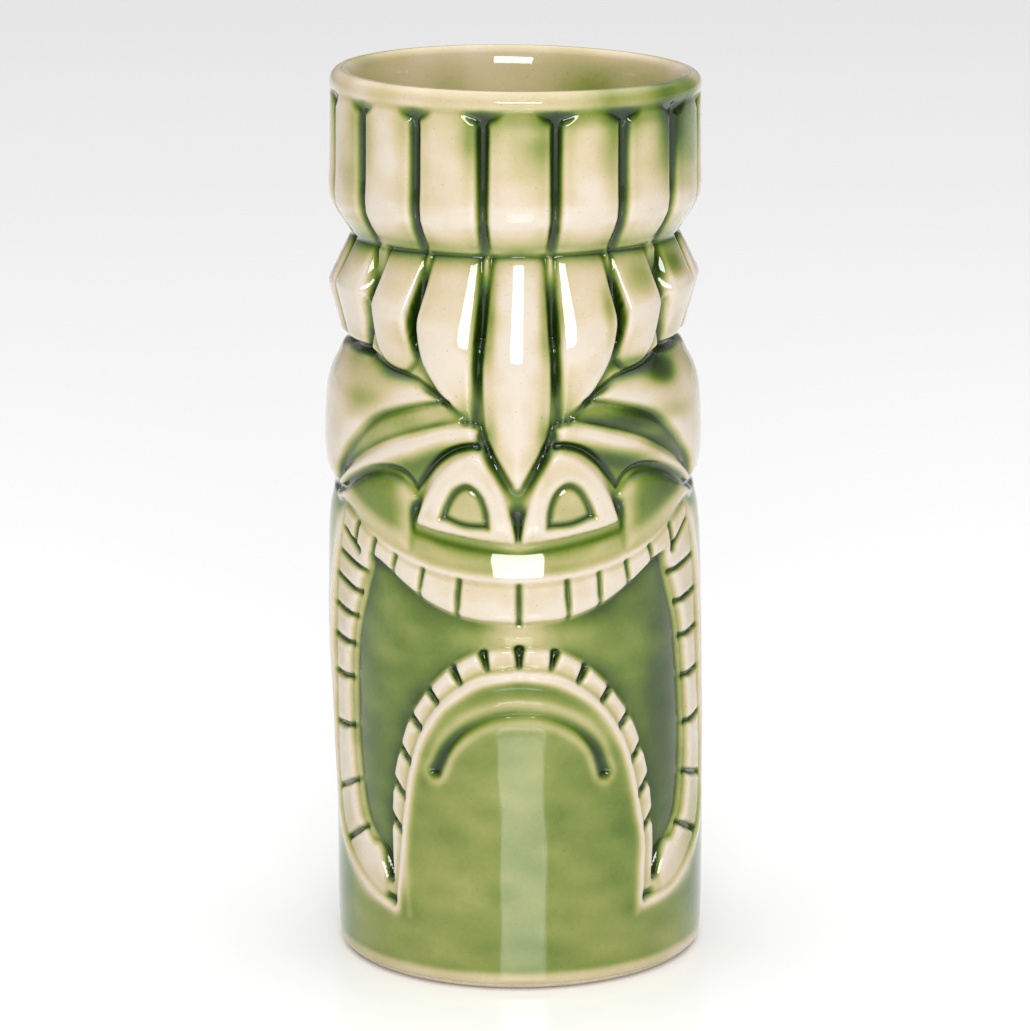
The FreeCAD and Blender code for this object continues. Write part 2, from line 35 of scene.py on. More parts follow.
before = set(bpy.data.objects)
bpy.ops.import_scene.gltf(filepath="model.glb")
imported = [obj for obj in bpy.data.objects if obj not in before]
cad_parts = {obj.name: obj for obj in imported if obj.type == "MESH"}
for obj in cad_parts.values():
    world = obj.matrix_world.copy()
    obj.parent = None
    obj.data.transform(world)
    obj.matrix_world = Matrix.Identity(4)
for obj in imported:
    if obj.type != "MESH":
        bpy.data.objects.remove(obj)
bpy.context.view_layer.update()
low_corner, high_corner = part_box("outer_glaze")
liner_low, liner_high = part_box("liner_glaze")

MUG_HEIGHT = 168.0                      # in the drawing's millimetres
UNIT = (high_corner.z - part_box("earthenware_body")[0].z) / MUG_HEIGHT   # metres in a drawing millimetre
PATTERN_RADIUS = 34.6
ROUND = 2 * math.pi * PATTERN_RADIUS    # once round the pattern
COAT = 0.35                             # thickness of the glaze
CROWN_RADIUS = liner_high.x / UNIT      # top of the lip, where the two glazes meet
FOOT_EDGE = low_corner.z / UNIT         # bare clay below this height
FLOOR_HEIGHT = liner_low.z / UNIT + COAT
RIM_RADIUS = 34.5
LIP_START = 165.7                       # the rim curves in above this height
WAIST_RADIUS = 30.6                     # under the panels, where the ridges start
RIDGE_TOP = 137.8                       # height of that waist
BRIDGE_RADIUS = 35.6                    # of the nose, where its upper and lower faces meet
BRIDGE_HEIGHT = 118.5
FACE_RADIUS = 35.25                     # of the eyes and the brows
RIDGE_RADIUS = 34.75                    # of the ridges' crests
LONG_RIDGE_RADIUS = 34.95
PANELS = 16
PITCH = ROUND / PANELS
FRONT_CELLS = 2                         # places each side of the nose that the longer ridges take up

# ---------------------------------------------------------------------------------------------------------
# The grid that the outside is worked out on, and soft operations on it
# ---------------------------------------------------------------------------------------------------------

COLUMNS = 642
MIDDLE_COLUMN = COLUMNS // 2
ROWS = 484
ROW_LOW = 1.8
ANGLES = (np.arange(COLUMNS) - MIDDLE_COLUMN) * 2 * math.pi / COLUMNS
S_LINE = ANGLES * PATTERN_RADIUS
Z_LINE = np.linspace(ROW_LOW, LIP_START, ROWS)
S, Z = np.meshgrid(S_LINE, Z_LINE)
STEP = S_LINE[1] - S_LINE[0]


def clip01(value):
    return np.clip(value, 0.0, 1.0)


def ease(value):
    """0 to 1 with a soft start and end."""
    value = clip01(value)
    return value * value * (3 - 2 * value)


def rounded(value):
    """A quarter round: 0 at 0, upright there, and level at 1."""
    return np.sqrt(1 - (1 - clip01(value)) ** 2)


def ramp(value, low, high):
    """0 below low and 1 above high, soft between them."""
    return ease((value - low) / (high - low))


def interpolated(places, stations):
    """Values at some places, from stations of a place and a value."""
    known, values = np.array(stations, float).T
    return np.interp(places, known, values)


def curve(points, steps=7):
    """A smooth Catmull-Rom line through the points, or the line itself for two."""
    points = np.array(points, float)
    if len(points) == 2:
        return points
    ends = np.vstack([2 * points[0] - points[1], points, 2 * points[-1] - points[-2]])
    pieces = []
    for place in range(len(points) - 1):
        a, b, c, d = ends[place:place + 4]
        t = np.linspace(0, 1, steps, endpoint=False)[:, None]
        pieces.append(0.5 * (2 * b + (c - a) * t + (2 * a - 5 * b + 4 * c - d) * t**2
                             + (3 * b - a - 3 * c + d) * t**3))
    return np.vstack(pieces + [points[-1:]])


def loop(*strokes):
    """A closed outline from strokes that meet in corners."""
    return np.vstack([curve(stroke)[:-1] for stroke in strokes])


def closed(outline):
    return np.vstack([outline, outline[:1]])


def as_drawn(points):
    return points


def flip(points):
    return np.array(points, float) * (-1, 1)


BOTH_SIDES = (as_drawn, flip)           # what is drawn on the right, and the same on the left


def both_halves(*strokes):
    """A closed outline from its right half, drawn from the middle line to the middle line."""
    left = [flip(stroke)[::-1] for stroke in strokes][::-1]
    return loop(*strokes, *left)


def window(points, margin):
    """The part of the grid within a margin of some points."""
    columns = np.searchsorted(S_LINE, [points[:, 0].min() - margin, points[:, 0].max() + margin])
    rows = np.searchsorted(Z_LINE, [points[:, 1].min() - margin, points[:, 1].max() + margin])
    return slice(*rows), slice(*columns)


def line_distance(s, z, points):
    """Distance to a line, and how far along it the nearest point is, from 0 to 1."""
    best = np.full(s.shape, 1e9)
    along = np.zeros(s.shape)
    lengths = np.hypot(*np.diff(points, axis=0).T)
    starts = np.concatenate([[0], np.cumsum(lengths)])
    for place, length in enumerate(lengths):
        a = points[place]
        way = (points[place + 1] - a) / max(length, 1e-9)
        t = np.clip((s - a[0]) * way[0] + (z - a[1]) * way[1], 0, length)
        gap = np.hypot(s - a[0] - way[0] * t, z - a[1] - way[1] * t)
        nearer = gap < best
        best = np.where(nearer, gap, best)
        along = np.where(nearer, starts[place] + t, along)
    return best, along / starts[-1]


def loop_distance(s, z, outline):
    """Distance to a closed outline, positive inside it."""
    gap = line_distance(s, z, closed(outline))[0]
    inside = np.zeros(s.shape, bool)
    for a, b in zip(outline, np.roll(outline, -1, axis=0)):
        if a[1] == b[1]:
            continue
        crosses = (z < a[1]) != (z < b[1])
        inside ^= crosses & (s < a[0] + (z - a[1]) * (b[0] - a[0]) / (b[1] - a[1]))
    return np.where(inside, gap, -gap)


def border(outline, soft):
    """The grid round an outline: slices, s, z, depth inside, and a share from 0 outside to 1 inside."""
    part = window(outline, soft + 0.5)
    s, z = S[part], Z[part]
    depth = loop_distance(s, z, outline)
    return part, s, z, depth, ease(depth / soft + 0.5)


def shape_to(grid, outline, level, soft=0.5):
    """Inside an outline the grid goes to a level, with a border soft millimetres wide.

    The level is a number or a function of s, z and the depth inside.
    """
    part, s, z, depth, share = border(outline, soft)
    wanted = level(s, z, depth) if callable(level) else level
    grid[part] += share * (wanted - grid[part])


def carve(height, points, depth, width, taper=None):
    """A rounded groove along a line; taper(along) scales its depth and width."""
    part = window(points, width + 0.5)
    gap, along = line_distance(S[part], Z[part], points)
    scale = taper(along) if taper else 1.0
    height[part] -= depth * scale * np.exp(-(gap / (0.55 * width * np.maximum(scale, 0.3))) ** 2)


def dig(height, points, level, half, taper=None):
    """A valley along a line, down to a level and half millimetres wide each side."""
    part = window(points, half + 0.5)
    gap, along = line_distance(S[part], Z[part], points)
    reach = half * (taper(along) if taper else 1.0)
    height[part] -= ease(1.15 * (1 - gap / reach)) * np.maximum(height[part] - level, 0)


def swell(height, points, rise, width, taper=None):
    """A soft ridge along a line."""
    part = window(points, 2.5 * width)
    gap, along = line_distance(S[part], Z[part], points)
    scale = taper(along) if taper else 1.0
    height[part] += rise * scale * np.exp(-(gap / width) ** 2)


def blurred(values, width):
    """Gaussian blur of a grid that wraps round sideways, width in millimetres."""
    reach = int(math.ceil(3 * width / STEP))
    weights = np.exp(-0.5 * (np.arange(-reach, reach + 1) * STEP / width) ** 2)
    weights /= weights.sum()
    wide = np.concatenate([values[:, -reach:], values, values[:, :reach]], axis=1)
    across = sum(weight * wide[:, place:place + values.shape[1]] for place, weight in enumerate(weights))
    tall = np.concatenate([np.repeat(across[:1], reach, 0), across, np.repeat(across[-1:], reach, 0)])
    return sum(weight * tall[place:place + values.shape[0]] for place, weight in enumerate(weights))


def lowest_near(values, reach):
    """The lowest value within reach columns and rows."""
    best = values.copy()
    for shift in range(-reach, reach + 1):
        best = np.minimum(best, np.roll(values, shift, axis=1))
    tall = np.concatenate([np.repeat(best[:1], reach, 0), best, np.repeat(best[-1:], reach, 0)])
    return np.min([tall[place:place + values.shape[0]] for place in range(2 * reach + 1)], axis=0)


def filled(values, reach):
    """How deep each point lies in grooves narrower than twice reach columns."""
    return blurred(lowest_near(-lowest_near(-values, reach), reach) - values, 0.3)


def drift(seed, sizes):
    """Smooth random unevenness over the wrap, about -1 to 1, that closes round the back."""
    random = np.random.default_rng(seed)
    total = np.zeros(S.shape)
    for size in sizes:
        turns = max(1, round(ROUND / size))
        for _ in range(5):
            waves = random.integers(-turns, turns + 1)
            rise = random.uniform(-1, 1) * 2 * math.pi / size
            phase = random.uniform(0, 2 * math.pi)
            total += np.sin(waves * S / PATTERN_RADIUS + rise * Z + phase) / math.sqrt(5 * len(sizes))
    return total


# ---------------------------------------------------------------------------------------------------------
# The drawing: profiles, then outlines of the right-hand half in millimetres on the flat pattern
# ---------------------------------------------------------------------------------------------------------

# Profiles: a height and the radius there.
BODY = [
    (0, 34.5), (4, 34.75), (10, 34.9), (34, 34.9), (46, 35.1), (60, 35.4), (67, 35.4), (76, 35.15),
    (82, 34.95), (86, 34.6), (88, 34.1), (90.4, 33.6), (92.4, 34.4), (94, 34.95), (97, 35.35), (100, 35.4),
    (104, 35.3), (109, 34.95), (112, 34.2), (115, 32.6), (118, 31.2), (120, 30.7), (126, 30.6), (138, 30.6),
    (140.5, 31.6), (143, 32.9), (146, 33.1), (161, 33.2), (163.2, 34.2), (164.2, 34.5), (168, 34.5),
]
PANEL_FACE = [
    (137.4, 30.7), (139.2, 31.3), (142, 33.3), (144.4, 34.5), (146.8, 34.75), (150, 34.6), (158, 34.5),
    (164, 34.45),
]
FOREHEAD_FLOOR = [(97, 33.7), (112, 33.2), (125, 31.2), (138, 29.0)]
RIDGE_HALF = [(117, 4.8), (120, 5.4), (129.3, 6.0), (138, 5.6)]     # a height and half the width there

FOREHEAD = both_halves(
    [(0, 97), (4.5, 100)],
    [(4.5, 100), (6.5, 104), (10, 107.5), (14, 111), (18, 113), (21, 115.5), (27, 116), (31, 117.2),
     (33.6, 118.6)],
    [(33.6, 118.6), (33.6, 122)],
    [(33.6, 122), (0, 122)],
)
NOSE = both_halves(
    [(0, 94.8), (3.4, 100.2), (6.0, 105.2), (6.6, 110), (6.8, BRIDGE_HEIGHT)],
    [(6.8, BRIDGE_HEIGHT), (5.7, RIDGE_TOP)],
    [(5.7, RIDGE_TOP), (0, RIDGE_TOP)],
)
INNER_RIDGE = loop(
    [(7.2, 138), (18.5, 138)],
    [(18.5, 138), (19.2, 133), (20.3, 125.5), (19.2, 119.5), (17, 115.5), (13.5, 111.2), (10, 107.7),
     (7.4, 104.8)],
    [(7.4, 104.8), (7.9, 112), (8.0, 119)],
    [(8.0, 119), (7.2, 138)],
)
OUTER_RIDGE = loop(
    [(19.9, 138), (30.4, 138)],
    [(30.4, 138), (31.0, 133), (31.6, 127), (31, 120.5), (28, 117), (23, 115.8), (20.4, 118)],
    [(20.4, 118), (21.8, 125.5), (20.6, 133), (19.9, 138)],
)
LOBE = loop(
    [(12.5, 111.2), (16, 112.8), (20, 115), (24, 115.6), (28, 116.6), (33, 118.6), (42, 119.2), (57, 119)],
    [(57, 119), (57, 90)],
    [(57, 90), (46, 91.5), (42, 95.2), (38, 99.8), (34, 103.3), (28, 107.3), (20, 109.9), (12.5, 111.2)],
)
EYELID = loop(
    [(9.5, 108.2), (14, 110.4), (20, 109.6), (28, 107), (34, 103), (38, 99.4), (43, 93.6)],
    [(43, 93.6), (38, 96.9), (33, 99.8), (26, 103.2), (18, 106), (9.5, 108.2)],
)
LID_TOP = curve([(9, 108.6), (14, 110.7), (20, 109.8), (28, 107.3), (34, 103.3), (38, 99.7), (44, 93.2)])
LID_BOTTOM = curve([(9, 107.9), (14, 107.1), (18, 105.9), (26, 103.1), (33, 99.6), (38, 96.8), (45, 92)])
BROW = loop(
    [(6.9, 106.6), (9.5, 107.4), (14, 106.6), (18, 105.4), (26, 102.5), (33, 99.1), (38, 96.3), (45, 91.8)],
    [(45, 91.8), (42, 92), (36, 94.9), (30, 97.4), (25, 98), (21.5, 96.9), (19.4, 94.4)],
    [(19.4, 94.4), (17.7, 96.8), (15.3, 99.8), (12.2, 102.2), (8.6, 103.3), (6.9, 102.8)],
    [(6.9, 102.8), (6.9, 106.6)],
)
BROW_CREASE = curve([(19.9, 94), (21.7, 96.1), (25, 97.4), (30, 96.8), (36, 94.3), (42, 91.4), (50, 90.4),
                     (57, 90.4)])
EYE = loop(
    [(19.6, 88.4), (19, 90.6), (17.4, 94.2), (15, 98), (11.7, 101.1), (8.3, 102.4), (6, 101.8), (4, 99.1),
     (2.5, 95.3), (1.4, 91), (0.6, 87.6), (0.0, 85.2)],
    [(0.0, 85.2), (8, 86.2), (14, 87.2), (19.6, 88.4)],
)
UNDER_EYES = curve([(-20, 87), (-14, 85.8), (-7, 84.7), (0, 84.2), (7, 84.7), (14, 85.8), (20, 87)])
EYE_FOOT = [(0, 84.9), (8, 86.0), (14, 87.0), (20, 88.2)]   # s and the height of the eyes' lower edge there
EYE_GROOVE = curve([(20.5, 87.4), (19.9, 90.8), (18.2, 94.8), (15.8, 98.7), (12.2, 102.0), (8.3, 103.3),
                    (5.8, 102.9)])
BEAK_GROOVE = curve([(6.6, 105.6), (5.6, 102.4), (3.5, 98.9), (1.6, 95.7), (0.3, 93.0)])
CREVICE = curve([(0, 94.6), (0, 90), (0, 85.6)])
PUPIL = loop(
    [(5.6, 88.5), (5.8, 91.5), (7.0, 94.6), (9.2, 96.2), (11.5, 95.2), (13.2, 92.6), (14.1, 90)],
    [(14.1, 90), (10, 88.7), (5.6, 88.5)],
)
CHEEK = loop(
    [(20.6, 84.6), (20.8, 93.4), (22.5, 95.9), (25, 96.8), (30, 96.2), (36, 93.7), (42, 90.9), (47, 89.8)],
    [(47, 89.8), (43.5, 89), (39.5, 89.8), (33, 87.2), (27, 84.4), (20.6, 82.4)],
    [(20.6, 82.4), (20.6, 84.6)],
)
EYE_BAND = both_halves(
    [(0, 83.2), (8, 84.2), (14, 85.2), (20.5, 86.2)],
    [(20.5, 86.2), (20.5, 82.6)],
    [(20.5, 82.6), (12, 81.2), (0, 80.4)],
)
LIP_TOP = [(0, 78.1), (5, 78.3), (12, 79), (20, 80.7), (27, 83.2), (33, 86), (39.2, 88.7)]
MOUTH_SIDE = [(39.4, 88.7), (42, 82), (44.4, 73.5), (46.2, 64), (47.3, 52), (48, 41), (47.2, 33), (44.5, 26),
              (39, 20.6), (32.5, 16.4)]
MOUTH_TIPS = {1: (24.3, 14.8), -1: (26.0, 14.2)}    # the two lower corners of the mouth differ a little
ARCH_LIP = [(24.7, 26), (23.7, 33.5), (22.2, 41), (19.8, 48), (16.3, 53.6), (12, 57.7), (7, 60.6), (0, 61.8)]
HOLLOW = both_halves(
    [(0, 70.4), (9, 71.1), (16, 73.1), (22, 76.2), (28, 79.7), (31.2, 80.6)],
    [(31.2, 80.6), (34.2, 73), (37.2, 65.5), (38.9, 56), (39.5, 46), (38.7, 38), (36.9, 30.5), (33.6, 26.3),
     (30.2, 23), (28, 18.6)],
    [(28, 18.6), (27, 18.6)],
    [(27, 18.6), (27.4, 25.5), (27.3, 32), (26.5, 39), (24.8, 45), (22.3, 51), (18.8, 56), (14.5, 60.5),
     (9.8, 63.8), (5, 65.5), (0, 66)],
)
CHIN_LIP = curve([(22.6, 13), (23.4, 26), (22.4, 33.5), (20.8, 41), (18.4, 47.6), (15, 53), (11, 56.6),
                  (6, 59.3), (0, 60.5)])
CHIN_GROOVE = curve([(-16.4, 41.8), (-13.8, 46.7), (-10, 50.5), (-5, 53), (0, 53.7), (5, 53), (10, 50.5),
                     (13.6, 46.7), (15.6, 41.4)])
CHIN_ROLL = curve([(-19, 43.5), (-16, 49), (-11.4, 53), (-5.6, 55.5), (0, 56.2), (5.6, 55.5), (11.4, 53),
                   (16, 49), (18.5, 43.5)])

# Lines of the gaps between the teeth; 1 is the right-hand side and -1 the left.
UPPER_GAPS = {
    1: [[(0, 78.1), (0, 70)], [(8.9, 78.5), (9.4, 70.6)], [(15.2, 79.6), (15.8, 72.2)],
        [(21, 81), (22, 75.4)], [(26.7, 83), (28, 79)], [(32.8, 86), (34.2, 80.6)]],
    -1: [[(11.0, 78.8), (11.7, 71)], [(18.2, 80.3), (19.5, 74.2)], [(24.2, 82.2), (25.8, 77)],
         [(29.4, 84.4), (31, 79.4)], [(34.4, 86.6), (35.8, 82.4)]],
}
SIDE_GAPS = {
    1: [[(33.8, 80.9), (39.8, 85.4)], [(34.2, 76.4), (42.9, 77.8)], [(36.6, 70), (44.8, 70.9)],
        [(38.2, 62.9), (46.2, 63.4)], [(39.4, 54.9), (47.0, 55.2)], [(39.6, 45.7), (47.8, 46.3)],
        [(38.7, 36.6), (47.8, 34)], [(35.5, 27.4), (45.4, 23)]],
    -1: [[(34.6, 81), (40.0, 84.4)], [(33.8, 77.4), (41.8, 79.6)], [(35.4, 72.7), (43.8, 74.8)],
         [(36.8, 67.6), (45.2, 68.8)], [(38.2, 62), (46.2, 62.6)], [(39.2, 55.4), (46.9, 55.2)],
         [(39.6, 45.9), (47.6, 45)], [(38.2, 35.8), (47.2, 32.2)], [(35.3, 27.4), (43.4, 22.6)]],
}
ARCH_GAPS = [
    [(0, 66.4), (0, 62.6)],
    [(7, 65.2), (5.9, 61.8)],
    [(13.2, 62), (11, 58.8)],
    [(18.5, 57.4), (15.6, 54.6)],
    [(22.3, 51.6), (19.2, 49.2)],
    [(25.2, 45.4), (21.8, 42.3)],
    [(27, 38.6), (23.4, 35.4)],
    [(27.8, 31.4), (24.3, 28.6)],
]


def mouth_outline():
    """The outline of the whole mouth."""
    sides = []
    for tip in MOUTH_TIPS.values():
        strokes = (LIP_TOP, MOUTH_SIDE + [tip], [tip] + ARCH_LIP)
        sides.append(np.vstack([curve(stroke)[:-1] for stroke in strokes]))
    right, left = sides
    return np.vstack([right, [ARCH_LIP[-1]], flip(left)[:0:-1]])


MOUTH = mouth_outline()


# ---------------------------------------------------------------------------------------------------------
# The relief, from the plain form outwards
# ---------------------------------------------------------------------------------------------------------

def plain_form():
    """The body with its waists, softly joined."""
    profile = interpolated(Z_LINE, BODY)
    return blurred(np.repeat(profile[:, None], COLUMNS, axis=1), 0.8)


def cell():
    """Distance along the wrap from the middle of the nearest headdress panel, and that panel's number."""
    number = np.round(S / PITCH)
    return S - number * PITCH, number


def shoulders(face, inside, reach, depth):
    """A form with rounded edges: its face, falling by depth to the floor of the channels round it."""
    return face - depth * (1 - rounded(inside / reach))


def headdress(height):
    """Upright panels with cut top corners, bent inwards at their lower ends, with channels between them."""
    across, number = cell()
    side = np.abs(across)
    half = 6.05 - 0.15 * ramp(142.5 - Z, 0, 5) + 0.12 * np.sin(number * 2.4)
    notch_foot = 164.4 - 1.9 * clip01(1 - ((PITCH / 2 - side) / 4.0) ** 2)
    inside = np.minimum(np.minimum(half - side, notch_foot - Z), (Z - RIDGE_TOP) * 1.1)
    face = interpolated(Z, PANEL_FACE) - 0.35 * (side / 6) ** 2
    depth = 1.4 * clip01((165.2 - Z) / 4.2) * (0.35 + 0.65 * ramp(Z, 138, 143))
    panel = shoulders(face, inside, 1.0, depth)
    in_band = ramp(Z, 137.2, 138.0) * ramp(165.0 - Z, 0, 0.6)
    height += in_band * (panel - height)


def softer_of(first, second, softness):
    """The lower of two levels, with a rounded edge where they meet."""
    return -softness * np.logaddexp(-first / softness, -second / softness)


def ridge_faces(z, crest, crest_radius, foot_height, foot_radius):
    """The upper and lower faces of a ridge, which meet in a slightly rounded crest."""
    upper = WAIST_RADIUS + (crest_radius - WAIST_RADIUS) * (RIDGE_TOP - z) / (RIDGE_TOP - crest)
    lower = foot_radius + (crest_radius - foot_radius) * (z - foot_height) / (crest - foot_height)
    return softer_of(upper, lower, 0.22)


def ridges(height):
    """The plain ridges under the panels, all round except beside the nose."""
    across, number = cell()
    side = np.abs(across)
    crest = 129.3 + 0.5 * np.sin(number * 1.9)
    half = interpolated(Z, RIDGE_HALF)
    inside = np.minimum(half - side, (Z - 118.4 - 0.35 * (side / 5) ** 2) * 0.9)
    inside = np.minimum(inside, (138.1 - Z) * 1.2)
    face = ridge_faces(Z, crest, RIDGE_RADIUS, 117.8, 31.6) - 0.6 * (side / 6.2) ** 2
    ridge = shoulders(face, inside, 1.1, 0.6 + 0.9 * ramp(138 - Z, 0, 5))
    wanted = (np.abs(number) > FRONT_CELLS) * ramp(Z, 117.0, 118.2) * ramp(138.4 - Z, 0, 0.8)
    height += wanted * (ridge - height)


def long_ridge(s, z, outer):
    """The face of one of the longer ridges beside the nose; its crest line rises away from the nose."""
    if outer:
        reach = np.abs(s) - 25.6
        crest = 127.2 + 0.15 * reach
        return ridge_faces(z, crest, LONG_RIDGE_RADIUS, 115.4, 32.6) - 0.8 * (reach / 6.0) ** 2
    reach = np.abs(s) - 13.6
    crest = 122.6 + 0.5 * reach
    return ridge_faces(z, crest, LONG_RIDGE_RADIUS, 104.5, 33.9) - 0.8 * (reach / 6.6) ** 2


def forehead(height):
    """The sunk forehead, with the longer ridges and the nose standing in it."""
    def sunk(s, z, depth):
        face = np.where(np.abs(s) < 20, long_ridge(s, z, False), long_ridge(s, z, True))
        return np.maximum(face - 0.7 - 0.9 * ramp(138 - z, 0, 6), interpolated(z, FOREHEAD_FLOOR))

    shape_to(height, FOREHEAD, sunk, 0.8)
    for outline, outer in ((INNER_RIDGE, False), (OUTER_RIDGE, True)):
        def ridge(s, z, depth):
            return shoulders(long_ridge(s, z, outer), depth, 1.1, 1.5)

        for turn in BOTH_SIDES:
            shape_to(height, turn(outline), ridge)

    def nose(s, z, depth):
        head = WAIST_RADIUS + 0.6
        slope = (BRIDGE_RADIUS - head) / (RIDGE_TOP - BRIDGE_HEIGHT)
        bridge = head + slope * (RIDGE_TOP - z) - 1.5 * (s / 6) ** 2
        beak = 35.8 - 0.02 * (BRIDGE_HEIGHT - z) - 0.12 * np.abs(s) - 0.02 * s**2
        return shoulders(softer_of(bridge, beak, 0.2), depth, 0.8, 1.5)

    shape_to(height, NOSE, nose)


def brows(height):
    """On each side a smooth lobe, the sunk crescent of the eyelid under it, and the brow."""
    def fade_in(along):
        return ramp(along, -0.1, 0.18)

    def crease_fade(along):
        return ramp(along, -0.2, 0.12) * (1.1 - 0.5 * along) * ramp(1 - along, 0, 0.25)

    for turn in BOTH_SIDES:
        part, s, _, depth, share = border(turn(LOBE), 0.6)
        height[part] -= share * 1.7 * (1 - rounded(depth / 3.2)) * ramp(56 - np.abs(s), 0, 12)

        def brow(s, z, depth):
            below = ramp(line_distance(s, z, turn(LID_BOTTOM))[0], 1.6, 6.5)
            return FACE_RADIUS - 0.9 * below - 1.3 * (1 - rounded(depth / 1.5))

        shape_to(height, turn(BROW), brow, 0.6)
        shape_to(height, turn(EYELID), lambda s, z, depth: 34.45 - 0.25 * rounded(depth / 1.2), 0.7)
        carve(height, turn(LID_TOP), 0.8, 1.25, lambda along: fade_in(along) * ramp(1.05 - along, 0, 0.15))
        carve(height, turn(LID_BOTTOM), 0.9, 1.1, fade_in)
        carve(height, turn(BROW_CREASE), 1.4, 1.5, crease_fade)


def eyes(height):
    """Domed eyes with ringed pupils, the grooves round them, and the crevice under the beak."""
    def ball(s, z, depth):
        edge = 0.3 + 0.8 * ramp(z, 88.5, 92)
        return FACE_RADIUS - edge * (1 - rounded(depth / 0.9))

    for turn in BOTH_SIDES:
        shape_to(height, turn(EYE), ball, 0.6)
        carve(height, turn(EYE_GROOVE), 1.3, 1.5, lambda along: 0.15 + 0.85 * ramp(along, 0.03, 0.35))
        dig(height, turn(BEAK_GROOVE), 33.9, 1.5)
        shape_to(height, turn(PUPIL), 34.55, 0.7)
        carve(height, closed(turn(PUPIL)), 0.7, 1.15)
    dig(height, CREVICE, 33.8, 1.7, lambda along: 1.0 - 0.6 * along)
    carve(height, UNDER_EYES, 0.75, 5.0, lambda along: ramp(0.5 - np.abs(along - 0.5), 0, 0.25))


def cheeks(height):
    for turn in BOTH_SIDES:
        shape_to(height, turn(CHEEK), lambda s, z, depth: 34.45 + 0.8 * rounded(depth / 5.5), 0.9)


def tooth_gaps():
    """Every gap between teeth: its line, its half-widths at the line's two ends, and its depth."""
    for side in (1, -1):
        for gaps, first, last, depth in (
            (UPPER_GAPS[side], 0.3, 0.35, 0.9),
            (ARCH_GAPS, 0.95, 0.05, 1.8),
            (SIDE_GAPS[side], 0.5, 0.1, 1.2),
        ):
            for gap in gaps:
                yield np.array(gap, float) * (side, 1), first, last, depth


def notches(s, z):
    """How deep the gaps between the teeth cut in."""
    deepest = np.zeros(s.shape)
    for line, first, last, depth in tooth_gaps():
        away, along = line_distance(s, z, line)
        half = first + (last - first) * along
        deepest = np.maximum(deepest, depth * (1 - rounded((away - half) / 0.55)))
    return deepest


def teeth(s, z, to_lip, to_hollow):
    """The surface of the upper, side and lower teeth; the side ones stop short of the hollow at a ledge."""
    arch = ease((66.5 - z) / 1.5) * ease((29.5 - np.abs(s)) / 1.0)
    upper = ramp(z, 69, 70.2) * (1 - ramp(np.abs(s), 34, 40))
    aside = ramp(np.abs(s), 31, 34) * ramp(80 - z, 0, 4) * ramp(z, 19, 25)
    tooth = 34.85 + 0.2 * upper - 0.1 * arch - notches(s, z)
    tooth -= 0.8 * (1 - rounded((to_lip - 0.1) / 0.7))
    edge = to_hollow - 1.25 * aside
    tooth -= (1.7 - 0.3 * aside) * (1 - rounded((edge + 0.2) / (0.8 + 0.5 * upper)))
    ledge = 34.1 - 1.2 * (1 - rounded((to_hollow + 0.2) / 0.4)) - 1.1 * ramp(to_hollow, 0.3, 0.7)
    return np.where(aside > 0, np.maximum(tooth, aside * ledge + (1 - aside) * 32), tooth)


def mouth(height):
    """Teeth in a sunk band round a deeper hollow, inside a raised lip."""
    swell(height, closed(MOUTH), 0.42, 1.9)
    part, s, z, to_lip, share = border(MOUTH, 0.6)
    to_hollow = -loop_distance(s, z, HOLLOW)
    tooth = teeth(s, z, to_lip, to_hollow)
    floor = 33.0 + 1.1 * np.exp(-(s / 10) ** 2) * ramp(z, 60, 66) - 0.5 * ramp(26 - z, 0, 6)
    floor = floor + 0.35 * rounded(-to_hollow / 7)
    level = tooth + ease((-to_hollow + 0.25) / 0.5) * (floor - tooth)
    height[part] += share * (level - height[part])
    for side, (s_tip, z_tip) in MOUTH_TIPS.items():
        nick = np.array([(side * (s_tip + 0.6), z_tip + 0.9), (side * (s_tip + 2.0), z_tip + 1.2)])
        carve(height, nick, 1.0, 1.5)


def chin(height):
    """The lip that follows the lower teeth, the soft roll, and the curved groove under it."""
    for turn in BOTH_SIDES:
        swell(height, turn(CHIN_LIP), 0.3, 0.8)
    swell(height, CHIN_ROLL, 0.32, 1.7, lambda along: ramp(0.5 - np.abs(along - 0.5), 0, 0.15))
    swell(height, CHIN_GROOVE + (0, -2.6), 0.15, 1.5)
    carve(height, CHIN_GROOVE, 0.9, 1.8, lambda along: 0.4 + 0.8 * np.abs(2 * along - 1) ** 2)


def outside():
    height = plain_form()
    headdress(height)
    ridges(height)
    forehead(height)
    cheeks(height)
    brows(height)
    eyes(height)
    mouth(height)
    chin(height)
    height = blurred(height, 0.32)
    height += 0.05 * drift(11, [60, 25, 12])
    return height
